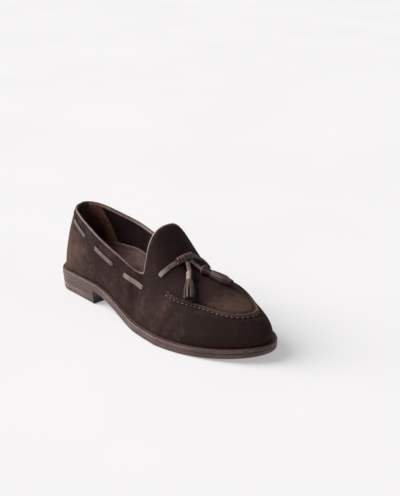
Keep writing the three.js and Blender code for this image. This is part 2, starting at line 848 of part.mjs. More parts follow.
const sides = [{ name: 'outer', side: outerSign }, { name: 'inner', side: innerSign }];
for (const { name, side } of sides) {
  for (const bar of laceBars) {
    add(`lace_${name}_${bar.name}`, barGeometry(bar, side), laceLeather, 0.5);
  }
}
const routeEnd = strapRoute[strapRoute.length - 1].over;
add('strap_outer', strapGeometry(strapRoute[0].over, strapBreak.from), laceLeather, 0.5);
add('strap_inner', strapGeometry(strapBreak.to, routeEnd), laceLeather, 0.5);

const knot = add('knot', knotGeometry(), laceLeather, 0.5);
knot.position.copy(knotCentre);
knot.quaternion.setFromUnitVectors(new THREE.Vector3(0, 1, 0), knotAxis);

for (const tassel of tassels) {
  add(`tassel_cord_${tassel.name}`, cordGeometry(tassel.cord), laceLeather, 0.5);
  add(`tassel_cap_${tassel.name}`, capGeometry(tassel), '#6b554b', 0.6);
  add(`tassel_fringe_${tassel.name}`, await fringeGeometry(tassel), '#66524a', 0.6);
}

export default group;
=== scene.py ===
"""Suede loafer with a tasselled lace, for the right foot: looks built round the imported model.

Lengths are in millimetres until a mesh is made. +X points to the toe, +Y to the inner side of the
foot, +Z up. A place on the upper is (s, side, t): s runs from 0 at the heel back to 1 at the toe tip,
side is -1 on the outer side and 1 on the inner side, t runs from 0 at the sole to 1 at the crest.
"""
import math

import bpy
import numpy as np
from mathutils import Matrix, Vector
from mathutils.bvhtree import BVHTree


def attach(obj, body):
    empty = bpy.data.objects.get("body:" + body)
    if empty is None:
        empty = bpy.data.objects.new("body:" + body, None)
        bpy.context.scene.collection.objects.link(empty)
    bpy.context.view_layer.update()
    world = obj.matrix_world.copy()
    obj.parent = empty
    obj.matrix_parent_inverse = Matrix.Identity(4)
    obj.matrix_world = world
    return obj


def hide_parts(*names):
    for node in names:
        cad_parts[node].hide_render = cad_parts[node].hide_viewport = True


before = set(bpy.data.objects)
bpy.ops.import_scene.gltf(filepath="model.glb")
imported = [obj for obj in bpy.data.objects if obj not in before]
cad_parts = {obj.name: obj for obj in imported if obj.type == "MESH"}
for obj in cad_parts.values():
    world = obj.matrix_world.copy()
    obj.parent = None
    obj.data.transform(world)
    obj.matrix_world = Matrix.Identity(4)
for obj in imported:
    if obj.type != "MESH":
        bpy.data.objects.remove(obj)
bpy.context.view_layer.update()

MM = 0.001
OUTER, INNER = SIDES = (-1, 1)

# Sizes of the shoe
LENGTH, BALL, INSTEP = 300.0, 106.0, 100.0
HALF = LENGTH / 2
HEEL, LIFT, OUTSOLE, WELT, GAP = 15.0, 4.5, 5.2, 3.3, 0.3
SOLE = OUTSOLE + WELT + GAP
SPRING, BREAST, FLAT_FROM, FLAT_TO = 7.0, -73.0, 16.0, 72.0
WALL, EDGE_DROP, SEAM_HEIGHT = 2.0, 2.5, 2.0
WELT_COVER, SOCK = 9.0, 2.6

# The form, as shares of the sizes above
AXIS, TOE_IN, TOE_IN_FROM = .0217, .0434, .633
HEEL_SHARE, HEEL_POWER, BALL_SHARE, TOE_POWER = .18, 2.15, .66, 1.88
OUTER_SIDE = np.array([(.11, .2925), (.233, .321), (.333, .349), (.433, .402), (.54, .4745), (.657, .5236)])
INNER_SIDE = np.array([(.11, .2877), (.233, .297), (.333, .2765), (.433, .283), (.54, .3585), (.62, .434),
                       (.7, .4764)])
LEDGE = np.array([(0, .034), (.17, .04), (.3, .036), (.5, .049), (.7, .052), (.9, .049), (1, .043)])
AT, CREST, SHIFT, PLAN, RISE, OUT_FULL, IN_FULL = range(7)
SECTIONS = np.array([
    (0.00, .956, .018, 1.52, 1.40, -.045, -.045),
    (0.17, 1.225, .036, 2.02, 2.24, .005, .013),
    (0.30, 1.265, .050, 2.33, 2.75, .008, .078),
    (0.45, 1.115, .090, 2.46, 2.66, -.041, .096),
    (0.52, 1.020, .124, 2.30, 2.43, -.108, .089),
    (0.60, .766, .114, 1.90, 1.95, -.066, .058),
    (0.67, .624, .101, 1.98, 1.82, -.021, .040),
    (0.78, .565, .094, 2.25, 1.66, .002, .032),
    (0.90, .436, .078, 2.49, 1.94, .014, .010),
    (1.00, .364, .067, 2.63, 2.31, .009, .009)])
# The collar's height at a share of the length, on the outer and the inner side
COLLAR = np.array([
    (.047, .974, .974), (.133, .899, .933), (.233, .828, .842),
    (.333, .731, .752), (.433, .632, .632), (.513, .522, .570)])
TAB_LOW, TAB_TOP, TAB_BOW = .02, .0167, .0037
# The footbed: its rim on the outer and the inner side and its hollow, as shares of the instep height
RIM_OUTER, RIM_INNER, BED = 1, 2, 3
FOOTBED = np.array([
    (0, .15, .17, .11), (.14, .18, .255, .12), (.28, .17, .262, .12), (.38, .13, .215, .1),
    (.5, .075, .12, .06), (.63, .035, .045, .032), (.75, .026, .026, .026), (1, .026, .026, .026)])
HOLLOW_WIDTH = .62
SEAM = np.array([
    (.2, .46, .55), (.34, .53, .61), (.5, .6, .68), (.62, .655, .72),
    (.8, .76, .76), (.9, .79, .79), (1, .795, .795)])


# The form
def smooth(k):
    k = np.clip(k, 0, 1)
    return k * k * (3 - 2 * k)


def gauss(d, centre, width):
    return np.exp(-((d - centre) / width) ** 2)


def unit(v):
    return v / (np.linalg.norm(v, axis=-1, keepdims=True) + 1e-12)


def lengths(p):
    """How far along a line each of its points lies."""
    return np.concatenate([[0], np.cumsum(np.linalg.norm(np.diff(p, axis=0), axis=1))])


def both_sides(outer, inner):
    """One closed ring from the two sides, each given from the heel to the toe."""
    return np.concatenate([outer, inner[::-1][1:-1]])


def of_side(side, outer, inner):
    return outer if side < 0 else inner


def curve(xs, ys, x):
    """A smooth line through the points (xs, ys), read at x."""
    xs, ys, x = (np.asarray(a, float) for a in (xs, ys, x))
    slope = np.zeros_like(ys)
    slope[1:-1] = (ys[2:] - ys[:-2]) / (xs[2:] - xs[:-2])
    slope[0] = (ys[1] - ys[0]) / (xs[1] - xs[0])
    slope[-1] = (ys[-1] - ys[-2]) / (xs[-1] - xs[-2])
    i = np.clip(np.searchsorted(xs, x, side="right") - 1, 0, len(xs) - 2)
    h = xs[i + 1] - xs[i]
    t = np.clip((x - xs[i]) / h, 0, 1)
    a = (2 * t ** 3 - 3 * t ** 2 + 1) * ys[i] + (t ** 3 - 2 * t ** 2 + t) * h * slope[i]
    return a + (3 * t ** 2 - 2 * t ** 3) * ys[i + 1] + (t ** 3 - t ** 2) * h * slope[i + 1]


def table_at(table, x, column=1):
    return curve(table[:, 0], table[:, column], x)


def share(x):
    return np.asarray(x, float) / LENGTH + 0.5


def section(column, x):
    return table_at(SECTIONS, share(x), column)


def underside(x):
    arch = HEEL * smooth((FLAT_FROM - x) / (FLAT_FROM - BREAST))
    return arch + SPRING * np.clip((x - FLAT_TO) / (HALF - FLAT_TO), 0, 1) ** 2


def rounded_end(k, start, tip, width, power):
    """The outline from the tip (k = 0) to where it has its width at start (k = 1)."""
    a = np.clip(k, 0, 1) * np.pi / 2
    x = start + (tip - start) * np.clip(np.cos(a), 0, 1) ** (2 / power)
    return x, width * np.sin(a) ** (2 / power)


def outline(s, side, inset=0.0):
    """The edge of the sole seen from above, moved inwards by inset."""
    s = np.asarray(s, float)
    table = of_side(side, OUTER_SIDE, INNER_SIDE)
    heel_x, ball_x = (table[0, 0] - .5) * LENGTH, (table[-1, 0] - .5) * LENGTH
    x_heel, w_heel = rounded_end(s / HEEL_SHARE, heel_x, -HALF, table[0, 1], HEEL_POWER)
    x_side = heel_x + (ball_x - heel_x) * (s - HEEL_SHARE) / (BALL_SHARE - HEEL_SHARE)
    w_side = table_at(table, share(x_side))
    x_toe, w_toe = rounded_end((1 - s) / (1 - BALL_SHARE), ball_x, HALF, table[-1, 1], TOE_POWER)
    x = np.where(s < HEEL_SHARE, x_heel, np.where(s <= BALL_SHARE, x_side, x_toe))
    w = np.where(s < HEEL_SHARE, w_heel, np.where(s <= BALL_SHARE, w_side, w_toe)) * BALL
    y = side * w + AXIS * BALL + TOE_IN * BALL * smooth((share(x) - TOE_IN_FROM) / (1 - TOE_IN_FROM))
    if np.any(np.asarray(inset)):
        step = 1e-4
        x1, y1 = outline(np.clip(s + step, 0, 1), side)
        x0, y0 = outline(np.clip(s - step, 0, 1), side)
        run = np.hypot(x1 - x0, y1 - y0) + 1e-12
        x, y = x + inset * (y1 - y0) / run * side, y - inset * (x1 - x0) / run * side
    return x, y


def ledge(s, side):
    return BALL * table_at(LEDGE, share(outline(s, side)[0]))


def spine(s):
    """Where the crest lies for s: it stops short of the toe and of the heel."""
    x = (outline(s, OUTER)[0] + outline(s, INNER)[0]) / 2

    def settle(start, goal, end):
        return start + (goal - start) * np.sin(np.clip((x - start) / (end - start), 0, 1) * np.pi / 2)

    toe_from, heel_from = 40.0, -100.0
    toe, heel = settle(toe_from, 113.2, HALF), settle(heel_from, -118.7, -HALF)
    return np.where(x > toe_from, toe, np.where(x < heel_from, heel, x))


def surface(s, side, t):
    s, t = np.broadcast_arrays(np.asarray(s, float), np.asarray(t, float))
    foot_x, foot_y = outline(s, side, ledge(s, side))
    x0 = spine(s)
    y0 = BALL * section(SHIFT, x0)
    a = t * np.pi / 2
    rise = np.sin(a) ** (2 / section(RISE, x0))
    reach = np.clip(np.cos(a), 0, 1) ** (2 / section(PLAN, x0))
    dx, dy = foot_x - x0, foot_y - y0
    both = (section(OUT_FULL, x0) + section(IN_FULL, x0)) / 2
    own = section(of_side(side, OUT_FULL, IN_FULL), x0) - both
    full = both + own * smooth(s / .1) * smooth((1 - s) / .1)
    swell = BALL * full * np.sin(np.pi * rise) / np.hypot(dx, dy)
    x, y = x0 + (reach + swell) * dx, y0 + (reach + swell) * dy
    low = underside(x) + SOLE
    return np.stack([x, y, low + (INSTEP * section(CREST, x) - low) * rise], -1)


def normal(s, side, t):
    s, t = np.broadcast_arrays(np.asarray(s, float), np.asarray(t, float))
    step = 2e-3

    def one(which):
        along = surface(np.minimum(s + step, 1), which, t) - surface(np.maximum(s - step, 0), which, t)
        up = surface(s, which, np.minimum(t + step, 1)) - surface(s, which, np.maximum(t - step, 0))
        return -which * unit(np.cross(along, up))

    own = one(side)
    shared = ((s <= 0) | (s >= 1) | (t >= 1))[..., None]
    return unit(np.where(shared, own + one(-side), own))


def lifted(s, side, t, lift):
    return surface(s, side, t) + normal(s, side, t) * np.asarray(lift, float)[..., None]


def solve(test, shape, low=.02, high=.97):
    """Where test, which grows, passes 0 between low and high."""
    low, high = np.full(shape, float(low)), np.full(shape, float(high))
    for _ in range(34):
        middle = (low + high) / 2
        over = test(middle) > 0
        high, low = np.where(over, middle, high), np.where(over, low, middle)
    return (low + high) / 2


def over_collar(p, side, drop):
    at = np.clip(share(p[..., 0]), COLLAR[0, 0], COLLAR[-1, 0])
    return p[..., 2] + drop - INSTEP * table_at(COLLAR, at, of_side(side, 1, 2))


def collar_share(s, side, drop=EDGE_DROP):
    s = np.asarray(s, float)
    return solve(lambda t: over_collar(surface(s, side, t), side, drop), s.shape)


def tab_edge(t):
    t = np.asarray(t, float)
    x = (TAB_LOW + (TAB_TOP - TAB_LOW) * t - 4 * TAB_BOW * t * (1 - t)) * LENGTH + EDGE_DROP
    return solve(lambda s: spine(s) - x, t.shape)


def corner(side):
    t = solve(lambda t: over_collar(surface(tab_edge(t), side, t), side, EDGE_DROP), (1,))
    return float(tab_edge(t)[0]), float(t[0])


# Edge of the opening on each side: down the collar, round the throat and up the tab
REAR, FRONT = 84, 132
LOW = 1 - (1 - np.linspace(0, 1, 44)) ** 1.45
HIGH = np.linspace(0, 1, 46)[1:] ** 1.4
THROAT_ROUND, THROAT_PASSES = 5.0, 60


def opening(side):
    corner_s, corner_t = corner(side)
    s_rear = np.linspace(0, corner_s, REAR + 1)
    t_rear = collar_share(s_rear, side)
    t_rear[-1] = corner_t
    t_tab = corner_t + (1 - corner_t) * HIGH
    s_all = np.concatenate([s_rear, tab_edge(t_tab)])
    t_all = np.concatenate([t_rear, t_tab])
    for _ in range(THROAT_PASSES):
        arc = lengths(surface(s_all, side, t_all))
        near = gauss(arc, arc[REAR], THROAT_ROUND)[1:-1]
        for a in (s_all, t_all):
            a[1:-1] += .5 * near * ((a[:-2] + a[2:]) / 2 - a[1:-1])
    return s_all, t_all


EDGE = {side: opening(side) for side in SIDES}


def seam_share(along, side):
    table = np.vstack([[0, EDGE[OUTER][1][REAR], EDGE[INNER][1][REAR]], SEAM])
    return table_at(table, along, of_side(side, 1, 2))


# Meshes
def new_mesh(name, verts, faces, weld=False, **values):
    """A smooth mesh object; each value becomes an attribute of its points."""
    shape = np.shape(verts)[:-1]
    verts = np.asarray(verts, float).reshape(-1, 3)
    keep = np.arange(len(verts))
    if weld:
        _, keep, where = np.unique(np.round(verts / .01).astype(np.int64), axis=0,
                                   return_index=True, return_inverse=True)
        rings = [list(dict.fromkeys(face)) for face in where.reshape(-1)[np.asarray(faces)].tolist()]
        faces = [ring for ring in rings if len(ring) > 2]
    mesh = bpy.data.meshes.new(name)
    mesh.from_pydata((verts[keep] * MM).tolist(), [], faces)
    mesh.update()
    for key, value in values.items():
        layer = mesh.attributes.new(key, "FLOAT", "POINT")
        value = np.broadcast_to(np.asarray(value, float), shape).reshape(-1)
        layer.data.foreach_set("value", value[keep].astype(np.float32))
    mesh.polygons.foreach_set("use_smooth", [True] * len(mesh.polygons))
    piece = bpy.data.objects.new(name, mesh)
    bpy.context.scene.collection.objects.link(piece)
    return piece


def grid(columns, rows, start=0, flip=False):
    i, j = np.meshgrid(np.arange(columns - 1), np.arange(rows - 1), indexing="ij")
    a = start + i * rows + j
    quads = np.stack([a, a + rows, a + rows + 1, a + 1], -1).reshape(-1, 4)
    return quads[:, ::-1] if flip else quads


def loft(rings, closed=False):
    """Faces of a body through rings of points, shaped (rings, count, 3); an open one has lids."""
    n, count = rings.shape[:2]
    faces = []
    k = np.arange(count)
    for r in range(n if closed else n - 1):
        here, there = r * count, ((r + 1) % n) * count
        o = (k + 1) % count
        faces.append(np.stack([here + k, here + o, there + o, there + k], -1))
    faces = np.concatenate(faces).tolist()
    if not closed:
        top = (n - 1) * count
        for k in range(count // 2):
            a, b, c, d = k, k + 1, count - k - 1, (count - k) % count
            faces += [[top + v for v in (a, b, c, d)], [d, c, b, a]]
    return faces


def body(name, rings, closed=False, **values):
    return new_mesh(name, rings, loft(rings, closed), **values)


def bundle(name, bodies, closed=False, **values):
    """One piece of many bodies, given by their rings; a value has one number for each body."""
    faces, start = [], 0
    for rings in bodies:
        faces += [[start + v for v in face] for face in loft(rings, closed)]
        start += rings.shape[0] * rings.shape[1]
    verts = [rings.reshape(-1, 3) for rings in bodies]
    sizes = [len(v) for v in verts]
    values = {key: np.repeat(np.broadcast_to(value, len(sizes)), sizes) for key, value in values.items()}
    return new_mesh(name, np.concatenate(verts), faces, **values)


def angles(count, first=0.0):
    return (np.arange(count) + first) / count * 2 * np.pi


def rounded(count, power=2.0):
    """A unit section, from a circle at power 2 towards a rounded square."""
    a = angles(count, .5)
    c, s = np.cos(a), np.sin(a)
    return np.stack([np.sign(c) * np.abs(c) ** (2 / power), np.sign(s) * np.abs(s) ** (2 / power)], -1)


def sweep(points, ups, wide, high, shape, closed=False):
    """Rings along a line: wide is the half width across, high the half height along ups."""
    points = np.asarray(points, float)
    ups = np.broadcast_to(np.asarray(ups, float), points.shape)
    if closed:
        way = unit(np.roll(points, -1, 0) - np.roll(points, 1, 0))
    else:
        way = unit(np.gradient(points, axis=0))
    across = unit(np.cross(ups, way))
    ups = np.cross(way, across)
    wide, high = (np.broadcast_to(v, (len(points),))[:, None, None] for v in (wide, high))
    u, v = shape[None, :, 0:1], shape[None, :, 1:2]
    return points[:, None] + across[:, None] * u * wide + ups[:, None] * v * high


def spread(p, across, up, wide, high):
    """Points moved off p by a length across and a length up for each."""
    return p + across * np.asarray(wide)[:, None] + up * np.asarray(high)[:, None]


def spline(points, count):
    """Evenly spaced points on a smooth line through the given ones."""
    p = np.asarray(points, float)
    fine = np.linspace(0, len(p) - 1, 40 * len(p))
    line = np.stack([curve(np.arange(len(p)), p[:, k], fine) for k in range(3)], -1)
    arc = lengths(line)
    return along_line(np.linspace(0, arc[-1], count), arc, line)


def along_line(at, arc, line):
    return np.stack([np.interp(at, arc, line[..., k]) for k in range(3)], -1)


# Camera, as fitted to the photograph: its turn, distance and focal length, and the shoe's place
def camera():
    azimuth, elevation, roll = 0.7842209, 0.3553264, 0.0055144
    centre, foot, picture_height, sensor = (200.0, 248.0), (161.48, 314.92), 496, 36
    focal, distance = math.exp(6.8618127), math.exp(6.9273770)
    level = math.cos(elevation)
    back = np.array([math.sin(azimuth) * level, -math.cos(azimuth) * level, math.sin(elevation)])
    right0 = np.array([math.cos(azimuth), math.sin(azimuth), 0.0])
    up0 = np.cross(back, right0)
    right = math.cos(roll) * right0 + math.sin(roll) * up0
    up = -math.sin(roll) * right0 + math.cos(roll) * up0
    eye = distance * back - right * (foot[0] - centre[0]) * distance / focal
    eye = eye + up * (foot[1] - centre[1]) * distance / focal + np.array([0, AXIS * BALL, 0])
    data = bpy.data.cameras.new("camera")
    data.sensor_width = sensor
    data.lens = focal / picture_height * sensor
    data.clip_start, data.clip_end = 0.05, 60
    piece = bpy.data.objects.new("camera", data)
    bpy.context.scene.collection.objects.link(piece)
    turn = Matrix((right, up, back)).transposed().to_4x4()
    piece.matrix_world = Matrix.Translation(Vector(eye * MM)) @ turn
    bpy.context.scene.camera = piece


camera()

# Tassels: the same routes and places as the solids. "tail" is how far the cord runs on inside,
# "dark" says that one side of the cap lies in shade, "closing" how far the fringe comes together at
# its tip, and "cap" gives the cap's width along it.
KNOT_CENTRE = np.array([36.9, 3, 75.3])
KNOT_LENGTH, KNOT_HEIGHT, KNOT_TURNS, KNOT_WIDE, KNOT_HIGH = 18.0, 3.5, 6, 3.4, 2.8
CAP_LENGTH, CAP_RADIUS = 12.0, 3.9
FRINGE_LENGTH, FRINGE_WIDTH, FRINGE_HEIGHT = 25.0, 12.4, 7.6
TASSELS = {
    "outer": {
        "cord": [[40.6, 1.4, 72.5], [43.6, -0.4, 70.4], [47, -2.6, 68], [50.7, -4.7, 65.4]],
        "neck": [51, -5, 65.1], "tip": [76.4, -31.2, 49.4], "up": [.2, -.36, .91], "tail": 18.5,
        "dark": 1, "closing": .1, "seed": 11,
        "cap": [.62, .98, 1.05, 1.02, .97, .95, .95, .96, .98, 1.0, .97, .9, .7]},
    "inner": {
        "cord": [[40.7, 5.9, 73], [44, 7.2, 70.3], [48.4, 8.6, 67.7], [52, 9.3, 66.4], [54.9, 9.6, 65.7]],
        "neck": [55.2, 9.6, 65.6], "tip": [89.5, 15.1, 59.9], "up": [.15, .01, .99], "tail": 16.5,
        "dark": 0, "closing": .5, "seed": 12,
        "cap": [.9, 1.34, 1.38, 1.3, 1.22, 1.13, 1.07, 1.0, .95, .92, .9, .86, .6]},
}
CORD_WIDTH, CORD_THICKNESS = 4.4, 1.7
CORD_UP = np.array([.35, 0, .94])


def tassel_frame(tassel):
    start = np.array(tassel["neck"], float)
    way = unit(np.array(tassel["tip"], float) - start)
    across = unit(np.cross(np.array(tassel["up"], float), way))
    return start, way, across, unit(np.cross(way, across))


cords = {}
for name, tassel in TASSELS.items():
    start, way, _, up = tassel_frame(tassel)
    route = spline([*tassel["cord"], *[start + way * k for k in np.linspace(2, tassel["tail"], 4)]], 40)
    lean = np.linspace(0, 1, len(route))[:, None]
    fold = 1 - .16 * gauss(lean[:, 0], .17, .06)
    rings = sweep(route, unit((1 - lean) * CORD_UP + lean * up), CORD_WIDTH / 2 * fold,
                  CORD_THICKNESS / 2, rounded(16, 3.0))
    cords[name] = {"piece": body("cord_" + name, rings), "route": route, "length": float(lengths(route)[-1])}

# Upper: outside with the apron's ridge, inside, and the rims between them
STITCH_PITCH = 4.8
RIDGE_FROM, RIDGE_FULL = .17, .32
STITCH_FROM = .225
# Relief beside the ridge: depth, its growth at the toe, whether it waves with the stitches, place, width
RELIEF = [(-.45, 0, 0, -3.9, 1.6), (-.5, 0, 0, 3.2, 1.6), (-.22, -.3, 1, -2.9, 1.6), (.1, .34, 1, -6.0, 2.6),
          (-.18, 0, 1, 2.2, 1.0)]


def slow(p, scale, seed):
    """A soft wavy field of about the given wavelength, the same on each run."""
    rng = np.random.default_rng(seed)
    total = np.zeros(p.shape[:-1])
    for _ in range(7):
        way = unit(rng.normal(size=3)) * 2 * np.pi / (scale * rng.uniform(.7, 1.5))
        total += np.sin(p @ way + rng.uniform(0, 2 * np.pi))
    return total / 7


front = {}


def build_side(side):
    """The four skins of one side, outside and inside, behind and in front of the throat."""
    s_edge, t_edge = EDGE[side]
    s_rear = np.repeat(s_edge[:REAR + 1, None], len(LOW), 1)
    t_rear = t_edge[:REAR + 1, None] * LOW[None]
    # in front of the throat, below and above the seam
    along = np.linspace(0, 1, FRONT + 1)
    seam = seam_share(along, side)
    s_low = np.repeat((s_edge[REAR] + (1 - s_edge[REAR]) * along)[:, None], len(LOW), 1)
    s_high = s_edge[None, REAR + 1:] + (1 - s_edge[None, REAR + 1:]) * along[:, None]
    level = (t_edge[REAR + 1:] - t_edge[REAR]) / (1 - t_edge[REAR])
    t_high = seam[:, None] + (1 - seam[:, None]) * level[None]
    s_front = np.concatenate([s_low, s_high], 1)
    t_front = np.concatenate([seam[:, None] * LOW[None], t_high], 1)
    row = len(LOW) - 1
    base = surface(s_front, side, t_front)
    arc = np.stack([lengths(column) for column in base])
    away = arc - arc[:, row:row + 1]
    seam_arc = lengths(base[:, row])
    seam_arc = seam_arc - seam_arc[-1]
    # the ridge with its puckers, and a shallow groove where the seam begins
    amount = smooth((along - RIDGE_FROM) / (RIDGE_FULL - RIDGE_FROM))[:, None]
    toe = smooth((along - .45) / .4)[:, None]
    wave = .5 - .5 * np.cos(2 * np.pi * seam_arc / STITCH_PITCH)[:, None]
    lift = SEAM_HEIGHT * amount * gauss(away, 0, np.where(away <= 0, 2.1, 1.6)) * (1 + .12 * toe)
    for depth, growth, waves, place, width in RELIEF:
        here = away <= 0 if place < 0 else away > 0
        size = amount * (depth + growth * toe) * (wave if waves else 1)
        lift += size * np.where(here, gauss(away, place, width), 0)
    lift -= smooth(along / .03)[:, None] * (1 - amount) * .35 * gauss(away, 0, .8)
    keep = smooth(t_front / .06) * smooth((1 - s_front) / .02) * smooth(s_front / .02)
    lift += .22 * slow(base, 34, 3) * keep
    inside = lifted(s_front, side, t_front, -WALL)
    outside = lifted(s_front, side, t_front, lift)
    front[side] = {"away": away, "seam_arc": seam_arc, "points": outside, "along": along}
    base = surface(s_rear, side, t_rear)
    keep = smooth(t_rear / .06) * smooth(s_rear / .02) * smooth((t_edge[:REAR + 1, None] - t_rear) / .05)
    rear_out = lifted(s_rear, side, t_rear, .3 * slow(base, 30, 5) * keep)
    rear_in = lifted(s_rear, side, t_rear, -WALL)
    skins = {"rear_out": rear_out, "rear_in": rear_in, "outside": outside, "inside": inside}
    for skin in skins.values():
        skin[:, 0, 2] = underside(skin[:, 0, 0]) + SOLE + .05
    return skins


def nap_and_painted_light(x, z):
    """Paler over 0, darker under 0: brushed nap, with painted light at the toe and heel and painted shade on
    the tab and low vamp.
    """
    toe = 1.85 * gauss(x, 112, 19) * smooth((z - 36) / 8)
    heel = 1.6 * gauss(x, -120, 32) * gauss(z, 42, 28)
    tab = .55 * gauss(x, 45, 48) * smooth((z - 42) / 14)
    # painted shade low on the vamp towards the toe, whose side turns away from the light
    vamp = .8 * smooth((x - 60) / 50) * smooth((38 - z) / 8)
    return toe + heel - tab - vamp


def build_upper():
    verts, faces, tone, lining, dark = [], [], [], [], []
    count = 0
    for side in SIDES:
        flip = side == INNER
        starts, rows = {}, {}
        for key, p in build_side(side).items():
            inner = key in ("rear_in", "inside")
            shape = p.shape[:2]
            starts[key], rows[key] = count, shape[1]
            verts.append(p.reshape(-1, 3))
            faces.append(grid(*shape, count, flip != inner))
            shade = smooth((-92 - p[..., 0]) / 6) if inner else nap_and_painted_light(p[..., 0], p[..., 2])
            depth = np.zeros(shape)
            if key == "outside":
                away, along = front[side]["away"], front[side]["along"]
                seen = smooth((along - RIDGE_FROM) / .14)[:, None]
                # the ridge's crest is drawn paler: a painted highlight along it
                shade = shade + .9 * gauss(away, -.3, 1.3) * seen
                # painted shade in the grooves on both sides of the ridge, carried by the dark value
                depth = (.75 * gauss(away, -3.4, 1.4) + .45 * gauss(away, 2.9, 1.1)) * seen
            for values, column in ((tone, shade), (lining, np.full(shape, float(inner))), (dark, depth)):
                values.append(column.reshape(-1))
            count += shape[0] * shape[1]

        def rim(outer, inner, k, turn):
            outs, ins = starts[outer] + k, starts[inner] + k
            quads = np.stack([outs[:-1], outs[1:], ins[1:], ins[:-1]], -1)
            faces.append(quads[:, ::-1] if turn else quads)

        k, rows_r, rows_f = np.arange(REAR + 1), rows["rear_out"], rows["outside"]
        rim("rear_out", "rear_in", k * rows_r + rows_r - 1, flip)
        rim("rear_out", "rear_in", k * rows_r, not flip)
        rim("outside", "inside", np.arange(FRONT + 1) * rows_f, not flip)
        rim("outside", "inside", np.arange(rows_r - 1, rows_f), flip)
    tone, lining, dark = (np.concatenate(v) for v in (tone, lining, dark))
    return new_mesh("upper_suede", np.concatenate(verts), np.concatenate(faces), weld=True,
                    tone=tone, lining=lining, dark=dark)


upper = build_upper()
upper_tree = BVHTree.FromPolygons([v.co / MM for v in upper.data.vertices],
                                  [tuple(p.vertices) for p in upper.data.polygons])


def on_front(side, arc, away):
    """A point of the finished front at a place along the seam and a distance from it."""
    f = front[side]
    last = len(f["seam_arc"]) - 2
    at = np.interp(arc, f["seam_arc"], np.arange(last + 2))
    i = int(min(at, last))
    ends = [along_line(away, f["away"][n], f["points"][n]) for n in (i, i + 1)]
    return ends[0] * (1 - at + i) + ends[1] * (at - i)


def nearest(p):
    """The nearest point of the upper's mesh and the way out from it."""
    hit, way, _, _ = upper_tree.find_nearest(Vector(p))
    return np.array(hit), np.array(way)


def thread(a, b, half, sink):
    """One stitch from a to b, bowed out of the surface that it lies on."""
    _, out = nearest((a + b) / 2)
    k = np.linspace(0, 1, 7)
    bow = np.sin(np.pi * k)
    line = a + (b - a) * k[:, None] + out * (bow * half * 1.3 - sink - half * .5)[:, None]
    size = half * (.45 + .55 * bow ** .5)
    return sweep(line, out, size, size * .8, rounded(8))


# The two rows of the seam: distance from it, half length and half width of a stitch, how deep it sits
SEAM_ROWS = ((-2.6, 1.35, .52, .1), (1.9, .9, .42, .3))


def seam_stitches():
    stitches, tones = [], []
    for side in SIDES:
        arcs, along = front[side]["seam_arc"], front[side]["along"]
        arc = -STITCH_PITCH / 2
        while arc > np.interp(STITCH_FROM, along, arcs):
            at = float(np.interp(arc, arcs, along))
            low = 1.3 * smooth((.36 - at) / .13)
            for away, reach, half, sink in SEAM_ROWS:
                reach = reach + .25 * low
                ends = (on_front(side, arc + way * reach, away - low) for way in (-1, 1))
                stitches.append(thread(*ends, half + .08 * low, sink))
                # the row on the apron side is drawn near black, a painted shade in the groove beside the
                # ridge; its first stitches less so
                tones.append(1.0 if away < 0 else .6 if low > .2 else 0.0)
            arc -= STITCH_PITCH + 1.2 * smooth((.5 - at) / .25)
    return bundle("seam_stitches", stitches, tone=tones)


stitches = seam_stitches()


# Edge binding: a rounded band over the rim, with its turned-in edge on the lining side
def build_binding():
    half, height, turned_in, on_collar, on_tab = 1.4, 1.5, 2.5, .85, .5
    lines = []
    for side in SIDES:
        p, n = surface(EDGE[side][0], side, EDGE[side][1]), normal(EDGE[side][0], side, EDGE[side][1])
        lines.append((p - n * WALL / 2, n, unit(np.cross(n, unit(np.gradient(p, axis=0)))) * -side))
    centre, out, towards = (both_sides(*v) for v in zip(*lines))
    past = both_sides(*[np.arange(len(EDGE[side][0])) - REAR for side in SIDES])[:, None]
    near_tab = smooth(past / 10)
    a = angles(16)
    rings = []
    for c, s in zip(np.cos(a), np.sin(a)):
        below = turned_in if c < -.2 else on_collar + (on_tab - on_collar) * near_tab
        reach = height * (1 + s) if s > 0 else height + 1.35 * s * below
        rings.append(centre + towards * reach + out * (c * half * (1 - .25 * near_tab)))
    # tab, inner and under mark painted light on the tab's edge and the turned-in face, and painted shade on
    # the lower outer face
    return body("collar_binding", np.stack(rings, 1), closed=True, tab=smooth(past / 4),
                inner=(np.cos(a) < -.3) & (np.sin(a) < .2), under=(np.cos(a) > .2) & (np.sin(a) < .1))


binding = build_binding()

# Laces
LACE_WIDTH, LACE_THICKNESS, BAR_WIDTH, BAR_THICKNESS = 5.2, 1.6, 5.8, 1.5
# Each bar: where it starts and ends along the side, how far under the collar, its width, and its share of
# painted highlight
BARS = {"rear": (.167, .26, .095, .13, .68, 0.0), "middle": (.317, .405, .137, .14, .84, .4),
        "front": (.458, .534, .134, .094, .93, 1.0)}
# The strap over the vamp: from 0 at the outer sole over 1 at the crest to 2 at the inner sole
ROUTE = np.array([(.47, .586), (.6, .596), (.73, .602), (.85, .606), (1, .606),
                  (1.15, .606), (1.27, .602), (1.4, .596), (1.53, .586)])
STRAP_FROM, STRAP_MIDDLE, STRAP_TO, STRAP_COUNT = .47, .9, 1.53, 34


def places(stops):
    """The points of the upper at stops of (s, side, t), and the ways out from it."""
    return [np.stack([find(*stop) for stop in stops]) for find in (surface, normal)]


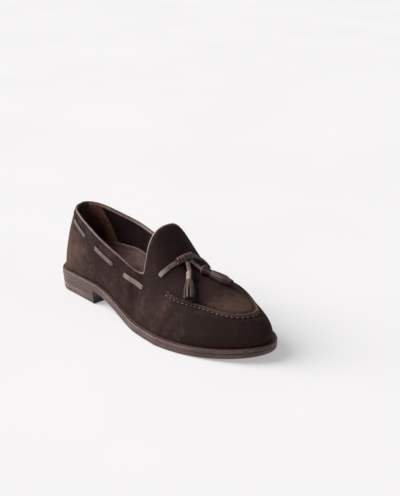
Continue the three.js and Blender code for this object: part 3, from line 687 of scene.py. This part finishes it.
def flat_lace(name, stops, ends=(True, True), width=LACE_WIDTH, thick=LACE_THICKNESS, tips=(0, 0),
              power=3.4, shade=.5, raised=0.0):
    """A flat lace over stops; a true end dips into its slit, a tip is rounded over its length."""
    p, out = places(stops)
    dip_length, dip_depth, lie, crown = 1.6, 2.3, .12, .35
    k = np.linspace(0, 1, len(stops))
    total = lengths(p)[-1]
    dip, wide = np.zeros(len(stops)), np.ones(len(stops))
    for far, end, tip in ((k, ends[0], tips[0]), (1 - k, ends[1], tips[1])):
        if end:
            dip += gauss(far * total, 0, dip_length)
        if tip:
            wide *= np.sqrt(np.clip(1 - np.clip(1 - far * total / tip, 0, 1) ** 2, .06, 1))
    pillow = crown * np.sin(np.pi * k) if all(ends) else 0
    centre = p + out * (lie + thick / 2 + pillow - dip_depth * dip + raised)[:, None]
    shape = rounded(32, power)
    rings = sweep(centre, out, width / 2 * wide, thick / 2, shape)
    return body(name, rings, across=shape[:, 0], tone=shade, end=k[:, None])


def slit(stop, way, reach=3.6):
    """A sheet of painted shade for a slit's dark mouth, lying on the upper across a lace and just behind its
    end.
    """
    half, behind, lie = .62, .9, .12
    p, out = surface(*stop), normal(*stop)
    k = np.linspace(-1, 1, 13)
    found = [nearest(q) for q in p - way * behind + unit(np.cross(out, way)) * (k * reach)[:, None]]
    line = np.stack([hit + clear * lie for hit, clear in found])
    return sweep(line, out, half * np.sqrt(np.clip(1 - k ** 4, .02, 1)), lie, rounded(8))


slits = []
bars = {}
for name, (s0, s1, drop0, drop1, wide, shade) in BARS.items():
    for word, side in (("outer", OUTER), ("inner", INNER)):
        k = .5 - .5 * np.cos(np.linspace(0, 1, 30) * np.pi)
        s = s0 + (s1 - s0) * k
        stops = list(zip(s, [side] * 30, collar_share(s, side, INSTEP * (drop0 + (drop1 - drop0) * k))))
        bars[f"lace_{word}_{name}"] = flat_lace(
            f"bar_{word}_{name}", stops, width=BAR_WIDTH * wide, thick=BAR_THICKNESS, tips=(1.2, 4.0),
            power=2.4, shade=shade)
        for i, j, reach in ((0, 3, 3.4), (-1, -4, 2.0)):
            slits.append(slit(stops[i], unit(surface(*stops[j]) - surface(*stops[i])), reach))


def strap_stops(start, end, count=STRAP_COUNT):
    over = np.linspace(start, end, count)
    return [(a, *of_side(o - 1, (OUTER, o), (INNER, 2 - o))) for o, a in zip(over, table_at(ROUTE, over))]


strap_outer = flat_lace("strap_over_outer", strap_stops(STRAP_FROM, STRAP_MIDDLE), (True, False),
                        tips=(.8, 0))
beyond_knot = gauss(np.linspace(STRAP_MIDDLE, STRAP_TO, STRAP_COUNT), 1.0, .085)
# shade 0 gives the strap past the knot painted shade, where it goes down the inner side
strap_inner = flat_lace("strap_over_inner", strap_stops(STRAP_MIDDLE, STRAP_TO), (False, True),
                        thick=2.3, shade=0.0, raised=2.2 * beyond_knot)
for stop in strap_stops(STRAP_FROM, STRAP_TO, 2):
    s, side, t = stop
    slits.append(slit(stop, unit(surface(s, side, t + .03) - surface(s, side, t))))
slit_piece = bundle("lace_slits", slits)


# Knot: turns of the lace wound round the strap where it crosses the crest
def build_knot():
    turn_wide, turn_thick = 1.5, .75
    line, out = places(strap_stops(.7, 1.1, 200))
    arc = lengths(line)
    middle = arc[np.argmin(np.linalg.norm(line + out * KNOT_HEIGHT - KNOT_CENTRE, axis=1))] - .8
    a = angles(36)
    way = unit(np.gradient(line, axis=0))
    turns = []
    for off in np.arange(KNOT_TURNS) - (KNOT_TURNS - 1) / 2:
        at = middle + off * (KNOT_LENGTH - 3) / (KNOT_TURNS - 1)
        p, up, run = (along_line(at, arc, v) for v in (line, out, way))
        across = unit(np.cross(up, run))
        swell = 1 - .03 * abs(off)
        lean = .55 * np.cos(a) + .25 * np.sin(a)
        ring = spread(p + up * KNOT_HEIGHT + run * lean[:, None], across, up,
                      np.cos(a) * KNOT_WIDE * swell, np.sin(a) * KNOT_HIGH * swell)
        away = unit(spread(0, across, up, np.cos(a), np.sin(a)))
        turns.append(sweep(ring, away, turn_wide, turn_thick, rounded(14, 2.6), closed=True))
    return bundle("knot_turns", turns, closed=True)


knot = build_knot()

# Tassels: a rolled cap and strips that spread and rest on the apron
CAP_AT = [.05, -.01, .03, .12, .2, .35, .5, .65, .8, .9, .97, 1, .985]
CAP_RIM = np.array([-1, 1, .6, .05] + [0] * 9)
FRINGE_LAYERS = ((10, 1.0), (7, .62), (3, .22))


def build_cap(name, tassel):
    start, way, across, up = tassel_frame(tassel)
    a = angles(36, .5)
    radius = CAP_RADIUS * (1 + .07 * (a / (2 * np.pi) - .5))
    wide, high = np.cos(a) * radius, np.sin(a) * radius * .94
    rings = [spread(start + way * (at * CAP_LENGTH), across, up, wide * size, high * size)
             for at, size in zip(CAP_AT, tassel["cap"])]
    # rim over 0 makes the flared rim paler, under 0 gives the mouth painted shade; shade gives one side
    # painted shade
    return body("cap_" + name, np.stack(rings), rim=CAP_RIM[:, None] * (.3 if tassel["dark"] else 1),
                shade=smooth((np.cos(a) * tassel["dark"] - .05) / .5))


def build_fringe(name, tassel):
    """Strips cut in a leather roll: they leave the cap's ring, spread, and come together at the tip."""
    start, way, across, up = tassel_frame(tassel)
    rng = np.random.default_rng(tassel["seed"])
    strips, tones = [], []
    overlap, strip_wide, strip_thick, clearance = .6, 1.2, .46, .8
    base = start + way * (CAP_LENGTH - overlap)
    closing = tassel["closing"]
    neck = (.78 if tassel["dark"] else .98) * CAP_RADIUS * tassel["cap"][9]
    k = np.linspace(0, 1, 18)
    shut = 1 - closing * smooth((k - .55) / .45)
    for layer, (count, fill) in enumerate(FRINGE_LAYERS):
        for n in range(count):
            a = (n + .5 * layer + rng.uniform(-.14, .14)) / count * 2 * np.pi
            reach = 1 - .05 * rng.uniform(0, 1) - .1 * closing * fill * abs(math.cos(a))
            flare = np.sin(np.clip(k * rng.uniform(1.15, 1.35), 0, 1) * np.pi / 2) ** .9
            wide = fill * (neck + (FRINGE_WIDTH / 2 - .5 - neck) * flare) * shut
            high = fill * (neck + (FRINGE_HEIGHT / 2 - .4 - neck) * flare) * (.5 + .5 * shut)
            drift = .45 * np.sin(k * rng.uniform(2, 4) + rng.uniform(0, 6)) * k
            line = spread(base + way * (k * (FRINGE_LENGTH + overlap) * reach)[:, None], across, up,
                          np.cos(a) * wide + drift, np.sin(a) * high)
            for i, q in enumerate(line):
                hit, clear = nearest(q)
                line[i] = q + clear * max(clearance - float((q - hit) @ clear), 0)
            wide = strip_wide * (1 + .12 * rng.uniform(-1, 1)) * np.where(k > .94, .8, 1)
            out = unit(across * math.cos(a) + up * math.sin(a))
            strips.append(sweep(line, out, wide, strip_thick, rounded(12, 3.4)))
            # the inner layers' tone of -.8 gives them painted shade in the look
            tones.append(rng.uniform(0, 1) if layer == 0 else -.8)
    return bundle("fringe_" + name, strips, tone=tones)


caps = {name: build_cap(name, tassel) for name, tassel in TASSELS.items()}
fringes = {name: build_fringe(name, tassel) for name, tassel in TASSELS.items()}

# Sole
STATIONS = 150


def stations():
    k = np.linspace(0, 1, STATIONS + 1)
    return k - .035 * np.sin(4 * np.pi * k)


def sole_ring(inset, height, cover=0):
    """The outline at a height; with a cover, so far inside the line where the upper meets the welt."""
    rings = []
    for side in SIDES:
        x, y = outline(stations(), side, inset + (ledge(stations(), side) + cover if cover else 0))
        rings.append(np.stack([x, y, underside(x) + height], -1))
    return both_sides(*rings)


def sole_piece(name, rows, closed=False):
    rings = np.stack([sole_ring(*row) for row in rows])
    return body(name, rings, closed, level=np.array([row[1] for row in rows])[:, None])


SEAT = OUTSOLE + .1
outsole = sole_piece("sole_layer", [
    (1.4, 0), (.7, .12), (.25, .5), (.05, 1.1), (0, 2.2), (0, 3.6), (.1, 4.5), (.3, 4.95), (.8, SEAT),
    (0, SEAT, WELT_COVER + GAP), (0, SOLE, WELT_COVER + GAP)])
welt = sole_piece("welt_strip", [
    (.7, SEAT), (.25, SEAT + .2), (.02, SEAT + .7), (0, SEAT + 1.6), (.08, SEAT + 2.3), (.35, SEAT + 2.8),
    (.85, SOLE - .12), (1.5, SOLE), (2.3, SOLE - .05), (2.9, SOLE - .2), (3.5, SOLE - .05),
    (0, SOLE, WELT_COVER), (0, SEAT, WELT_COVER)], closed=True)


HEEL_INSET, HEEL_INSET_TOP = 1.6, .4


def heel_piece(name, rows):
    """A layer of the heel block through rows of (height, extra inset, height of the ring)."""
    rings = []
    for level, extra, z in rows:
        inset = HEEL_INSET + (HEEL_INSET_TOP - HEEL_INSET) * level / HEEL + extra
        ring = []
        for side in SIDES:
            end = solve(lambda s: outline(s, side, inset)[0] - BREAST, (1,), high=BALL_SHARE)[0]
            x, y = outline(np.linspace(0, end, 65), side, inset)
            ring.append(np.stack([x, y, np.full(len(x), z)], -1))
        # from the outer breast round the back to the inner breast
        rings.append(np.concatenate([ring[0][::-1], ring[1][1:]])[::-1])
    return body(name, np.stack(rings), level=np.array([z for _, _, z in rows])[:, None])


top_lift = heel_piece("heel_lift", [
    (0, .5, 0), (0, .12, .25), (.8, 0, .8), (3.8, 0, 3.8), (LIFT, .2, LIFT - .1)])
block = heel_piece("heel_block", [
    (LIFT, .25, LIFT - .1), (LIFT, 0, LIFT + .3), (8, 0, 8), (11, 0, 11), (14.5, 0, 14.5),
    (HEEL, .1, HEEL + .05)])


def welt_stitches():
    pitch, half = 3.1, .36
    thread_way, drops = np.array([-.85, -.5, 0, .5, .85]), np.array([-.2, .02, .1, .02, -.2])
    wide = half * np.array([.6, 1, 1, 1, .6])
    stitches = []
    for side in SIDES:
        x, y = outline(np.linspace(0, 1, 900), side, 2.9)
        p = np.stack([x, y, underside(x) + SOLE - .05], -1)
        arc = lengths(p)
        for at in np.arange(pitch / 2, arc[-1], pitch):
            line = along_line(at + thread_way, arc, p)
            line[:, 2] += drops
            stitches.append(sweep(line, [0, 0, 1.0], wide, half * .8, rounded(8)))
    return bundle("welt_stitches", stitches, tone=1.0)


welt_thread = welt_stitches()


# Footbed: a cupped leather sock, with its rim against the lining
def bed(column, x):
    return INSTEP * table_at(FOOTBED, share(x), column)


def build_sock():
    s = stations()

    def wall_ring(part, far=.35):
        rings = []
        for side in SIDES:
            foot_x = outline(s, side, ledge(s, side))[0]
            height = part * np.maximum(bed(of_side(side, RIM_OUTER, RIM_INNER), foot_x), SOCK)
            goal = underside(foot_x) + SOLE + GAP + height
            t = solve(lambda t: lifted(s, side, t, -WALL)[..., 2] - goal, s.shape, low=0)
            p = lifted(s, side, t, -WALL - far)
            p[:, 2] = underside(p[:, 0]) + SOLE + GAP + height
            rings.append(p)
        return both_sides(*rings)

    walls, inwards = (0, .25, .5, .75, .92, .985), (1, .97, .93, .88, .82, .75, .68, .6, .48, .3, .12, .02)
    loops = [wall_ring(part) for part in walls]
    rim = wall_ring(1, .8)
    middle = np.stack([both_sides(spine(s), spine(s)), np.full(len(rim), AXIS * BALL)], -1)
    slope_from = HOLLOW_WIDTH * .8
    for k in inwards:
        q = rim.copy()
        q[:, :2] = middle + (rim[:, :2] - middle) * k
        hollow = underside(q[:, 0]) + SOLE + GAP + bed(BED, q[:, 0])
        high = rim[:, 2] - underside(rim[:, 0]) + underside(q[:, 0])
        rise = np.clip((k - slope_from) / (1 - slope_from), 0, 1) ** 1.5
        q[:, 2] = hollow + (high - hollow) * rise - (.5 if k < .99 else 0)
        loops.append(q)
    level = np.array([1.0] * len(walls) + list(inwards))
    return body("leather_sock", np.stack(loops), level=level[:, None], run=lengths(rim))


sock = build_sock()


# Heel tab: a dark strip folded over the collar at the back
def build_heel_tab():
    half_width, drop_out, drop_in, share_per_mm = 8.8, 13.0, 6.0, .01
    cols, rows, fold_from, fold_to = np.linspace(-1, 1, 25), 17, .42, .66
    s_near = np.linspace(0, .12, 200)
    arc = lengths(surface(s_near, INNER, EDGE[INNER][1][0]))
    verts = []
    for c in cols:
        side = OUTER if c < 0 else INNER
        s = float(np.interp(abs(c) * half_width, arc, s_near))
        t = float(collar_share(np.array([s]), side)[0])
        p, n = surface(s, side, t), normal(s, side, t)
        up = unit(surface(s, side, min(t + .01, 1)) - surface(s, side, t - .01))
        for r in np.linspace(0, 1, rows):
            if r < fold_from:
                down = t - drop_out * (1 - .35 * abs(c) ** 3) * (1 - r / fold_from) * share_per_mm
                q = lifted(s, side, down, .85)
            elif r > fold_to:
                down = t - drop_in * (r - fold_to) / (1 - fold_to) * share_per_mm
                q = lifted(s, side, down, -WALL - .75)
            else:
                a = np.pi * (r - fold_from) / (fold_to - fold_from)
                q = p - n * WALL / 2 + n * (math.cos(a) * (WALL / 2 + .8)) + up * (1.0 + math.sin(a) * 2.0)
            verts.append(q)
    return new_mesh("heel_tab", verts, grid(len(cols), rows).tolist())


heel_tab = build_heel_tab()


# Materials
def rgb(text):
    v = [int(text[i:i + 2], 16) / 255 for i in (1, 3, 5)]
    return tuple(c / 12.92 if c <= .04045 else ((c + .055) / 1.055) ** 2.4 for c in v) + (1.0,)


class Nodes:
    """A node tree that is built one node at a time."""

    def __init__(self, tree):
        self.tree = tree

    def plug(self, value, socket):
        if isinstance(value, bpy.types.NodeSocket):
            self.tree.links.new(value, socket)
        else:
            socket.default_value = rgb(value) if isinstance(value, str) else value

    def node(self, kind, settings=None, **inputs):
        """A new node; an input is given by its name, or as i0, i1 and so on by its number."""
        made = self.tree.nodes.new("ShaderNode" + kind)
        for key, value in (settings or {}).items():
            setattr(made, key, value)
        for key, value in inputs.items():
            self.plug(value, made.inputs[int(key[1:]) if key[1:].isdigit() else key])
        return made

    def math(self, how, a, b=0.0, clamp=False):
        return self.node("Math", {"operation": how, "use_clamp": clamp}, i0=a, i1=b).outputs[0]

    def coordinate(self, kind, axis):
        spot = self.node("TexCoord").outputs[kind]
        return self.node("SeparateXYZ", i0=spot).outputs[axis]


class Look(Nodes):
    """A material on the standard shader."""

    def __init__(self, name, roughness, **sockets):
        self.material = bpy.data.materials.new(name)
        self.material.use_nodes = True
        super().__init__(self.material.node_tree)
        self.shader = self.tree.nodes["Principled BSDF"]
        self.shader.inputs["Roughness"].default_value = roughness
        self.set(**sockets)

    def set(self, **sockets):
        for key, value in sockets.items():
            self.plug(value, self.shader.inputs[key.replace("_", " ")])
        return self.material

    def done(self, colour, height, strength, distance=.0003):
        return self.set(Base_Color=colour, Normal=self.bump(height, strength, distance))

    def place(self, stretch=(1, 1, 1)):
        return self.node("Mapping", Vector=self.node("TexCoord").outputs["Object"], Scale=stretch).outputs[0]

    def noise(self, scale, detail=3.0, rough=.55, stretch=(1, 1, 1)):
        made = self.node("TexNoise", Vector=self.place(stretch), Scale=scale, Detail=detail, Roughness=rough)
        return made.outputs["Fac"]

    def grain(self, scale, border=.15):
        cells = self.node("TexVoronoi", {"feature": "DISTANCE_TO_EDGE"}, Vector=self.place(), Scale=scale)
        return self.span(cells.outputs["Distance"], 0, border)

    def value(self, name):
        return self.node("Attribute", {"attribute_name": name}).outputs["Fac"]

    def times(self, a, b, clamp=False):
        return self.math("MULTIPLY", a, b, clamp)

    def total(self, *parts):
        """The sum of values, each with its weight."""
        result, *rest = [self.times(value, weight) for value, weight in parts]
        for value in rest:
            result = self.math("ADD", result, value)
        return result

    def span(self, value, a, b, c=0.0, d=1.0):
        made = self.node("MapRange", {"clamp": True, "interpolation_type": "SMOOTHSTEP"},
                         i0=value, i1=a, i2=b, i3=c, i4=d)
        return made.outputs[0]

    def line(self, value, centre, core, edge):
        """1 within core of the centre, falling to 0 at edge."""
        return self.span(self.math("ABSOLUTE", self.math("SUBTRACT", value, centre)), core, edge, 1, 0)

    def mix(self, fac, a, b):
        return self.node("Mix", {"data_type": "RGBA"}, i0=fac, i6=a, i7=b).outputs[2]

    def clouds(self, dark, light, scale, detail=3.0, low=.35, high=.65):
        return self.mix(self.span(self.noise(scale, detail), low, high), dark, light)

    def layers(self, colour, *tints):
        for fac, tint in tints:
            colour = self.mix(fac, colour, tint)
        return colour

    def bump(self, height, strength, distance, **under):
        return self.node("Bump", Height=height, Strength=strength, Distance=distance, **under).outputs[0]


def suede_look():
    look = Look("suede", .95, Sheen_Weight=.07, Sheen_Roughness=.5, Sheen_Tint="#a07c6c",
                Specular_IOR_Level=.15)
    nap = look.noise(1500, 3.0, .7)
    # the tone value brings in painted light and shade by region, and the painted highlight on the ridge's
    # crest
    mixed = look.total((look.noise(38, 3.5, .6), 1.05), (look.noise(170, 4.0, .65), .7), (nap, .28),
                       (look.value("tone"), .3))
    colour = look.layers(
        look.mix(look.span(mixed, .92, 1.64), "#2d1f1e", "#5f4841"),
        (look.span(look.noise(70, 2.0), .5, .72, 0, .22), "#4a2f2a"),
        # painted shade in the grooves beside the apron's ridge
        (look.times(look.value("dark"), .75, True), "#140e0d"))
    # the lining: very dark leather, and a rust-brown suede pocket at the heel, behind a slanted strip
    slant = look.math("ADD", look.coordinate("Object", "X"), look.times(look.coordinate("Object", "Z"), .434))
    strip = look.times(look.span(slant, -.0805, -.0798), look.span(slant, -.0778, -.0773, 1, 0))
    lining = look.layers(
        look.clouds("#241819", "#3a2627", 60, 3.0, .3, .7),
        (look.span(slant, -.0775, -.0765, 1, 0), look.clouds("#8f6150", "#bd8773", 90, 3.5, .3, .7)),
        # painted shade: the rust pocket darkens towards the heel's back, in the shadow of the heel's wall
        (look.span(slant, -.098, -.082, .8, 0), "#1b1211"),
        (look.times(strip, .55), "#9a7358"))
    heights = look.total((nap, .6), (look.noise(4200, 2.0, .6), .4))
    first = look.bump(heights, .55, .0005)
    second = look.bump(look.grain(900, .12), .12, .0003, Normal=first)
    return look.set(Base_Color=look.mix(look.value("lining"), colour, lining), Normal=second)


def leather_look(name, dark, light, rough, scale, depth, **sockets):
    """Smooth leather: cell grain and cloudy colour."""
    look = Look(name, rough, **sockets)
    fine = look.noise(900, 2.0, .6)
    mixed = look.total((look.noise(120, 3.0, .6), .75), (fine, .25))
    look.set(Roughness=look.span(fine, .3, .7, rough - .08, rough + .1))
    return look.done(look.mix(look.span(mixed, .34, .66), dark, light), look.grain(scale, .16), depth)


def edge_look(name, dark, light, pitch, rough=.48, worn="#9b8b80", breast=False):
    """The cut edge of stacked leather: lines at set heights, pores, and paler worn corners."""
    look = Look(name, rough, Specular_IOR_Level=.4)
    level = look.value("level")
    saw = look.math("FRACT", look.total((level, 1 / pitch), (look.noise(60, 2.0), .25)))
    gap = look.span(saw, 0, .14, 1, 0)
    rub = look.noise(220, 3.0, .6, (1, 1, 5))
    mixed = look.total((rub, .5), (look.noise(34, 3.0), .6))
    colour = look.layers(
        look.mix(look.span(mixed, .42, .72), dark, light),
        (look.times(gap, .42), "#1e1512"),
        (look.span(look.noise(160, 4.0, .7), .6, .74, 0, .22), worn))
    if breast:
        # painted shade on the heel's front face under the arch
        painted_breast_shade = look.span(look.coordinate("Object", "X"), (BREAST - .7) * MM, (BREAST - .3) * MM)
        colour = look.mix(painted_breast_shade, colour, "#171110")
    # the top of the welt
    colour = look.mix(look.times(look.span(level, 8.55, 8.7), .8), colour, "#4f332d")
    return look.done(colour, look.math("SUBTRACT", look.times(rub, .5), gap), .35)


def lace_material():
    """Lace leather with darker long edges, each bar paler by its own share of painted highlight."""
    look = Look("lace leather", .42, Specular_IOR_Level=.5)
    fine = look.noise(900, 2.0, .6)
    cloud = look.span(look.total((look.noise(200, 3.0), .6), (fine, .4)), .35, .65)
    off = look.math("ABSOLUTE", look.value("across"))
    colour = look.layers(
        look.mix(cloud, "#4d3c38", "#67524c"),
        # painted highlight: a paler colour by each bar's tone
        (look.value("tone"), look.mix(cloud, "#765e57", "#9a8078")),
        (look.span(off, .7, .98, 0, .55), "#34241f"))
    return look.done(colour, look.math("ADD", look.grain(1500), fine), .22)


def strap_material():
    """Lace leather pressed flat, with two creased lines along it; painted shade in the creases and past the
    knot, and a painted highlight at its start.
    """
    look = Look("strap leather", .5, Specular_IOR_Level=.35)
    off = look.math("ABSOLUTE", look.value("across"))
    crease = look.line(off, .42, .03, .13)
    colour = look.layers(
        look.clouds("#5d4741", "#806860", 160),
        # painted highlight at the strap's start
        (look.span(look.value("end"), 0, .45, .8, 0), "#a8928b"),
        # painted shade on the strap past the knot, where its tone is low
        (look.span(look.value("tone"), .2, .4, 1, 0), "#54433e"),
        # painted shade in the two creases, which the bump also dents
        (look.times(crease, .7), "#2a1a17"),
        (look.span(off, .8, .97, 0, .5), "#31211d"))
    return look.done(colour, look.math("SUBTRACT", look.times(look.grain(1400), .25), crease), .5, .0004)


def cap_material(name, dark, light, rim):
    """Rolled leather, paler where the roll's rim flares, with painted shade in its mouth and on one side."""
    look = Look(name, .5, Specular_IOR_Level=.3)
    at_rim = look.value("rim")
    colour = look.layers(
        look.clouds(dark, light, 140),
        (look.math("MAXIMUM", at_rim, 0.0), rim),
        # painted shade in the cap's mouth
        (look.times(at_rim, -1.4, True), "#0f0908"),
        # painted shade on the side of the cap turned from the light
        (look.value("shade"), "#170f0d"))
    return look.done(colour, look.grain(1200), .2)


def fringe_material(name, dark, light, core):
    """Cut strips: each its own shade, and the inner layers near black with painted shade."""
    look = Look(name, .5, Specular_IOR_Level=.45)
    tone = look.value("tone")
    mixed = look.total((look.noise(130, 3.0), .6), (tone, .4))
    colour = look.layers(
        look.mix(look.span(mixed, .3, .8), dark, light),
        # painted shade on the inner layers, between the outer strips
        (look.span(tone, -.7, -.2, 1, 0), core))
    return look.done(colour, look.math("ADD", look.times(look.grain(1000), .5), look.noise(1500, 2.0)), .35)


def binding_look():
    look = Look("binding leather", .42, Specular_IOR_Level=.5)
    colour = look.layers(
        look.clouds("#5d453d", "#795f56", 150),
        # painted light on the band's edge along the tab, which faces the light
        (look.value("tab"), "#9a8278"),
        # painted light on the turned-in face, brightened to make up for the light it lacks
        (look.value("inner"), "#d3b4aa"),
        # painted shade on the band's lower outer face, under its rounded top
        (look.times(look.value("under"), .75), "#35231f"))
    return look.done(colour, look.grain(1300), .2, .0002)


def sock_material():
    """Smooth leather with a stitched line inside the rim, and a paler worn rim."""
    look = Look("sock leather", .6, Specular_IOR_Level=.3)
    level = look.value("level")
    line = look.line(level, .865, .008, .022)
    dash = look.span(look.math("SINE", look.times(look.value("run"), 2 * math.pi / 4.2)), -.2, .3)
    colour = look.layers(
        look.clouds("#61403f", "#7f5856", 90),
        (look.times(look.span(level, .955, .99), .6), "#9a807b"),
        (look.times(line, .6), "#2c1a19"),
        (look.times(dash, look.span(line, .6, 1)), "#a98f89"))
    return look.done(colour, look.math("SUBTRACT", look.times(look.grain(900), .3), line), .3)


def thread_look(name, dark, light):
    """Twisted thread, dark where its tone is 0."""
    look = Look(name, .7)
    colour = look.mix(look.value("tone"), "#2c1f1c", look.clouds(dark, light, 420, 2.0))
    twist = look.node("TexWave", {"bands_direction": "DIAGONAL"}, Vector=look.place(), Scale=900,
                      Distortion=2.0)
    return look.done(colour, twist.outputs["Fac"], .4, .0002)


lace, strap = lace_material(), strap_material()
sole_edge = edge_look("sole edge", "#483531", "#6f5953", 2.6)
heel_edge = edge_look("heel edge", "#54423d", "#82706a", 3.4, .42, breast=True)
lift_edge = edge_look("lift edge", "#453531", "#6d5a54", 4.4, .5, "#7d6d64", breast=True)
cord_look = leather_look("cord leather", "#664d46", "#8b6f67", .42, 1500, .2, Specular_IOR_Level=.55)
# one leather drawn twice: pale with painted light on the outer cap, near black with painted shade on the
# inner one
cap_looks = {"outer": cap_material("outer cap leather painted light", "#7c655e", "#a38b84", "#a38b84"),
             "inner": cap_material("inner cap leather painted shade", "#251815", "#3a2924", "#8a7067")}
fringe_looks = {"outer": fringe_material("outer fringe leather", "#2f201d", "#5f4841", "#0c0706"),
                "inner": fringe_material("inner fringe leather", "#3a2523", "#5f4540", "#120b0a")}


def finish_piece(piece, material, slot, *nodes):
    piece.data.materials.clear()
    piece.data.materials.append(material)
    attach(piece, "root")
    if nodes:
        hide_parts(*nodes)


for piece, material, slot, *node in (
        (upper, suede_look(), "suede", "upper"),
        (heel_tab, leather_look("tab leather", "#2f201e", "#4a3532", .5, 900, .25), "suede"),
        (stitches, thread_look("seam thread", "#67534d", "#94807a"), "lace_leather"),
        (binding, binding_look(), "binding_leather", "edge_binding"),
        (sock, sock_material(), "sock_leather", "insole"),
        # the slits: near-black sheets of painted shade
        (slit_piece, leather_look("slit painted shade", "#0d0908", "#1a1210", .9, 900, .3), "suede"),
        (outsole, sole_edge, "sole_leather", "outsole"),
        (welt, sole_edge, "welt_leather", "welt"),
        (welt_thread, thread_look("welt thread", "#6b4a41", "#94706a"), "welt_leather"),
        (top_lift, lift_edge, "lift_rubber", "top_lift"),
        (block, heel_edge, "heel_leather", "heel_stack"),
        (strap_outer, strap, "lace_leather", "strap_outer"),
        (strap_inner, strap, "lace_leather", "strap_inner"),
        (knot, leather_look("knot leather", "#422b29", "#654843", .45, 1300, .3), "lace_leather", "knot")):
    finish_piece(piece, material, slot, *node)
for node, piece in bars.items():
    finish_piece(piece, lace, "lace_leather", node)
for name in TASSELS:
    cord = cords[name]
    finish_piece(cord["piece"], cord_look, "lace_leather", "tassel_cord_" + name)
    finish_piece(caps[name], cap_looks[name], "tassel_leather", "tassel_cap_" + name)
    finish_piece(fringes[name], fringe_looks[name], "tassel_leather", "tassel_fringe_" + name)


# Floor and light
def floor_piece():
    mesh = bpy.data.meshes.new("floor")
    r = 12.0
    mesh.from_pydata([(-r, -r, 0), (r, -r, 0), (r, r, 0), (-r, r, 0)], [], [(0, 1, 2, 3)])
    piece = bpy.data.objects.new("floor", mesh)
    bpy.context.scene.collection.objects.link(piece)
    look = Look("floor paper", .8, Specular_IOR_Level=.1, Emission_Color=(.99, .985, .99, 1),
                Emission_Strength=.38)
    mesh.materials.append(look.set(Base_Color=look.clouds("#c5c3c5", "#c9c7c9", 3, 2.0, .3, .7)))


def key_light(way, spread_degrees, strength, colour):
    """A soft light from far away: way points to it."""
    data = bpy.data.lights.new("key", "SUN")
    data.angle, data.energy, data.color = math.radians(spread_degrees), strength, colour
    piece = bpy.data.objects.new("key", data)
    bpy.context.scene.collection.objects.link(piece)
    piece.location = Vector(way) * 2
    piece.rotation_mode = "QUATERNION"
    piece.rotation_quaternion = Vector(way).to_track_quat("Z", "Y")


def studio():
    """A dim white world, bright near the horizon so that the floor's far edge doesn't show."""
    near, far, bright, dim = .035, .1, .93, .21
    world = bpy.data.worlds.new("studio")
    world.use_nodes = True
    nodes = Nodes(world.node_tree)
    inputs = world.node_tree.nodes["Background"].inputs
    level = nodes.math("ABSOLUTE", nodes.coordinate("Generated", "Z"))
    nodes.plug((1, 1, 1, 1), inputs["Color"])
    nodes.plug(nodes.node("MapRange", i0=level, i1=near, i2=far, i3=bright, i4=dim).outputs[0],
               inputs["Strength"])
    bpy.context.scene.world = world


floor_piece()
key_light((-.7, -.4, .6), 44, 3.9, (1, .995, .99))
studio()
bpy.context.scene.view_settings.view_transform = "Standard"
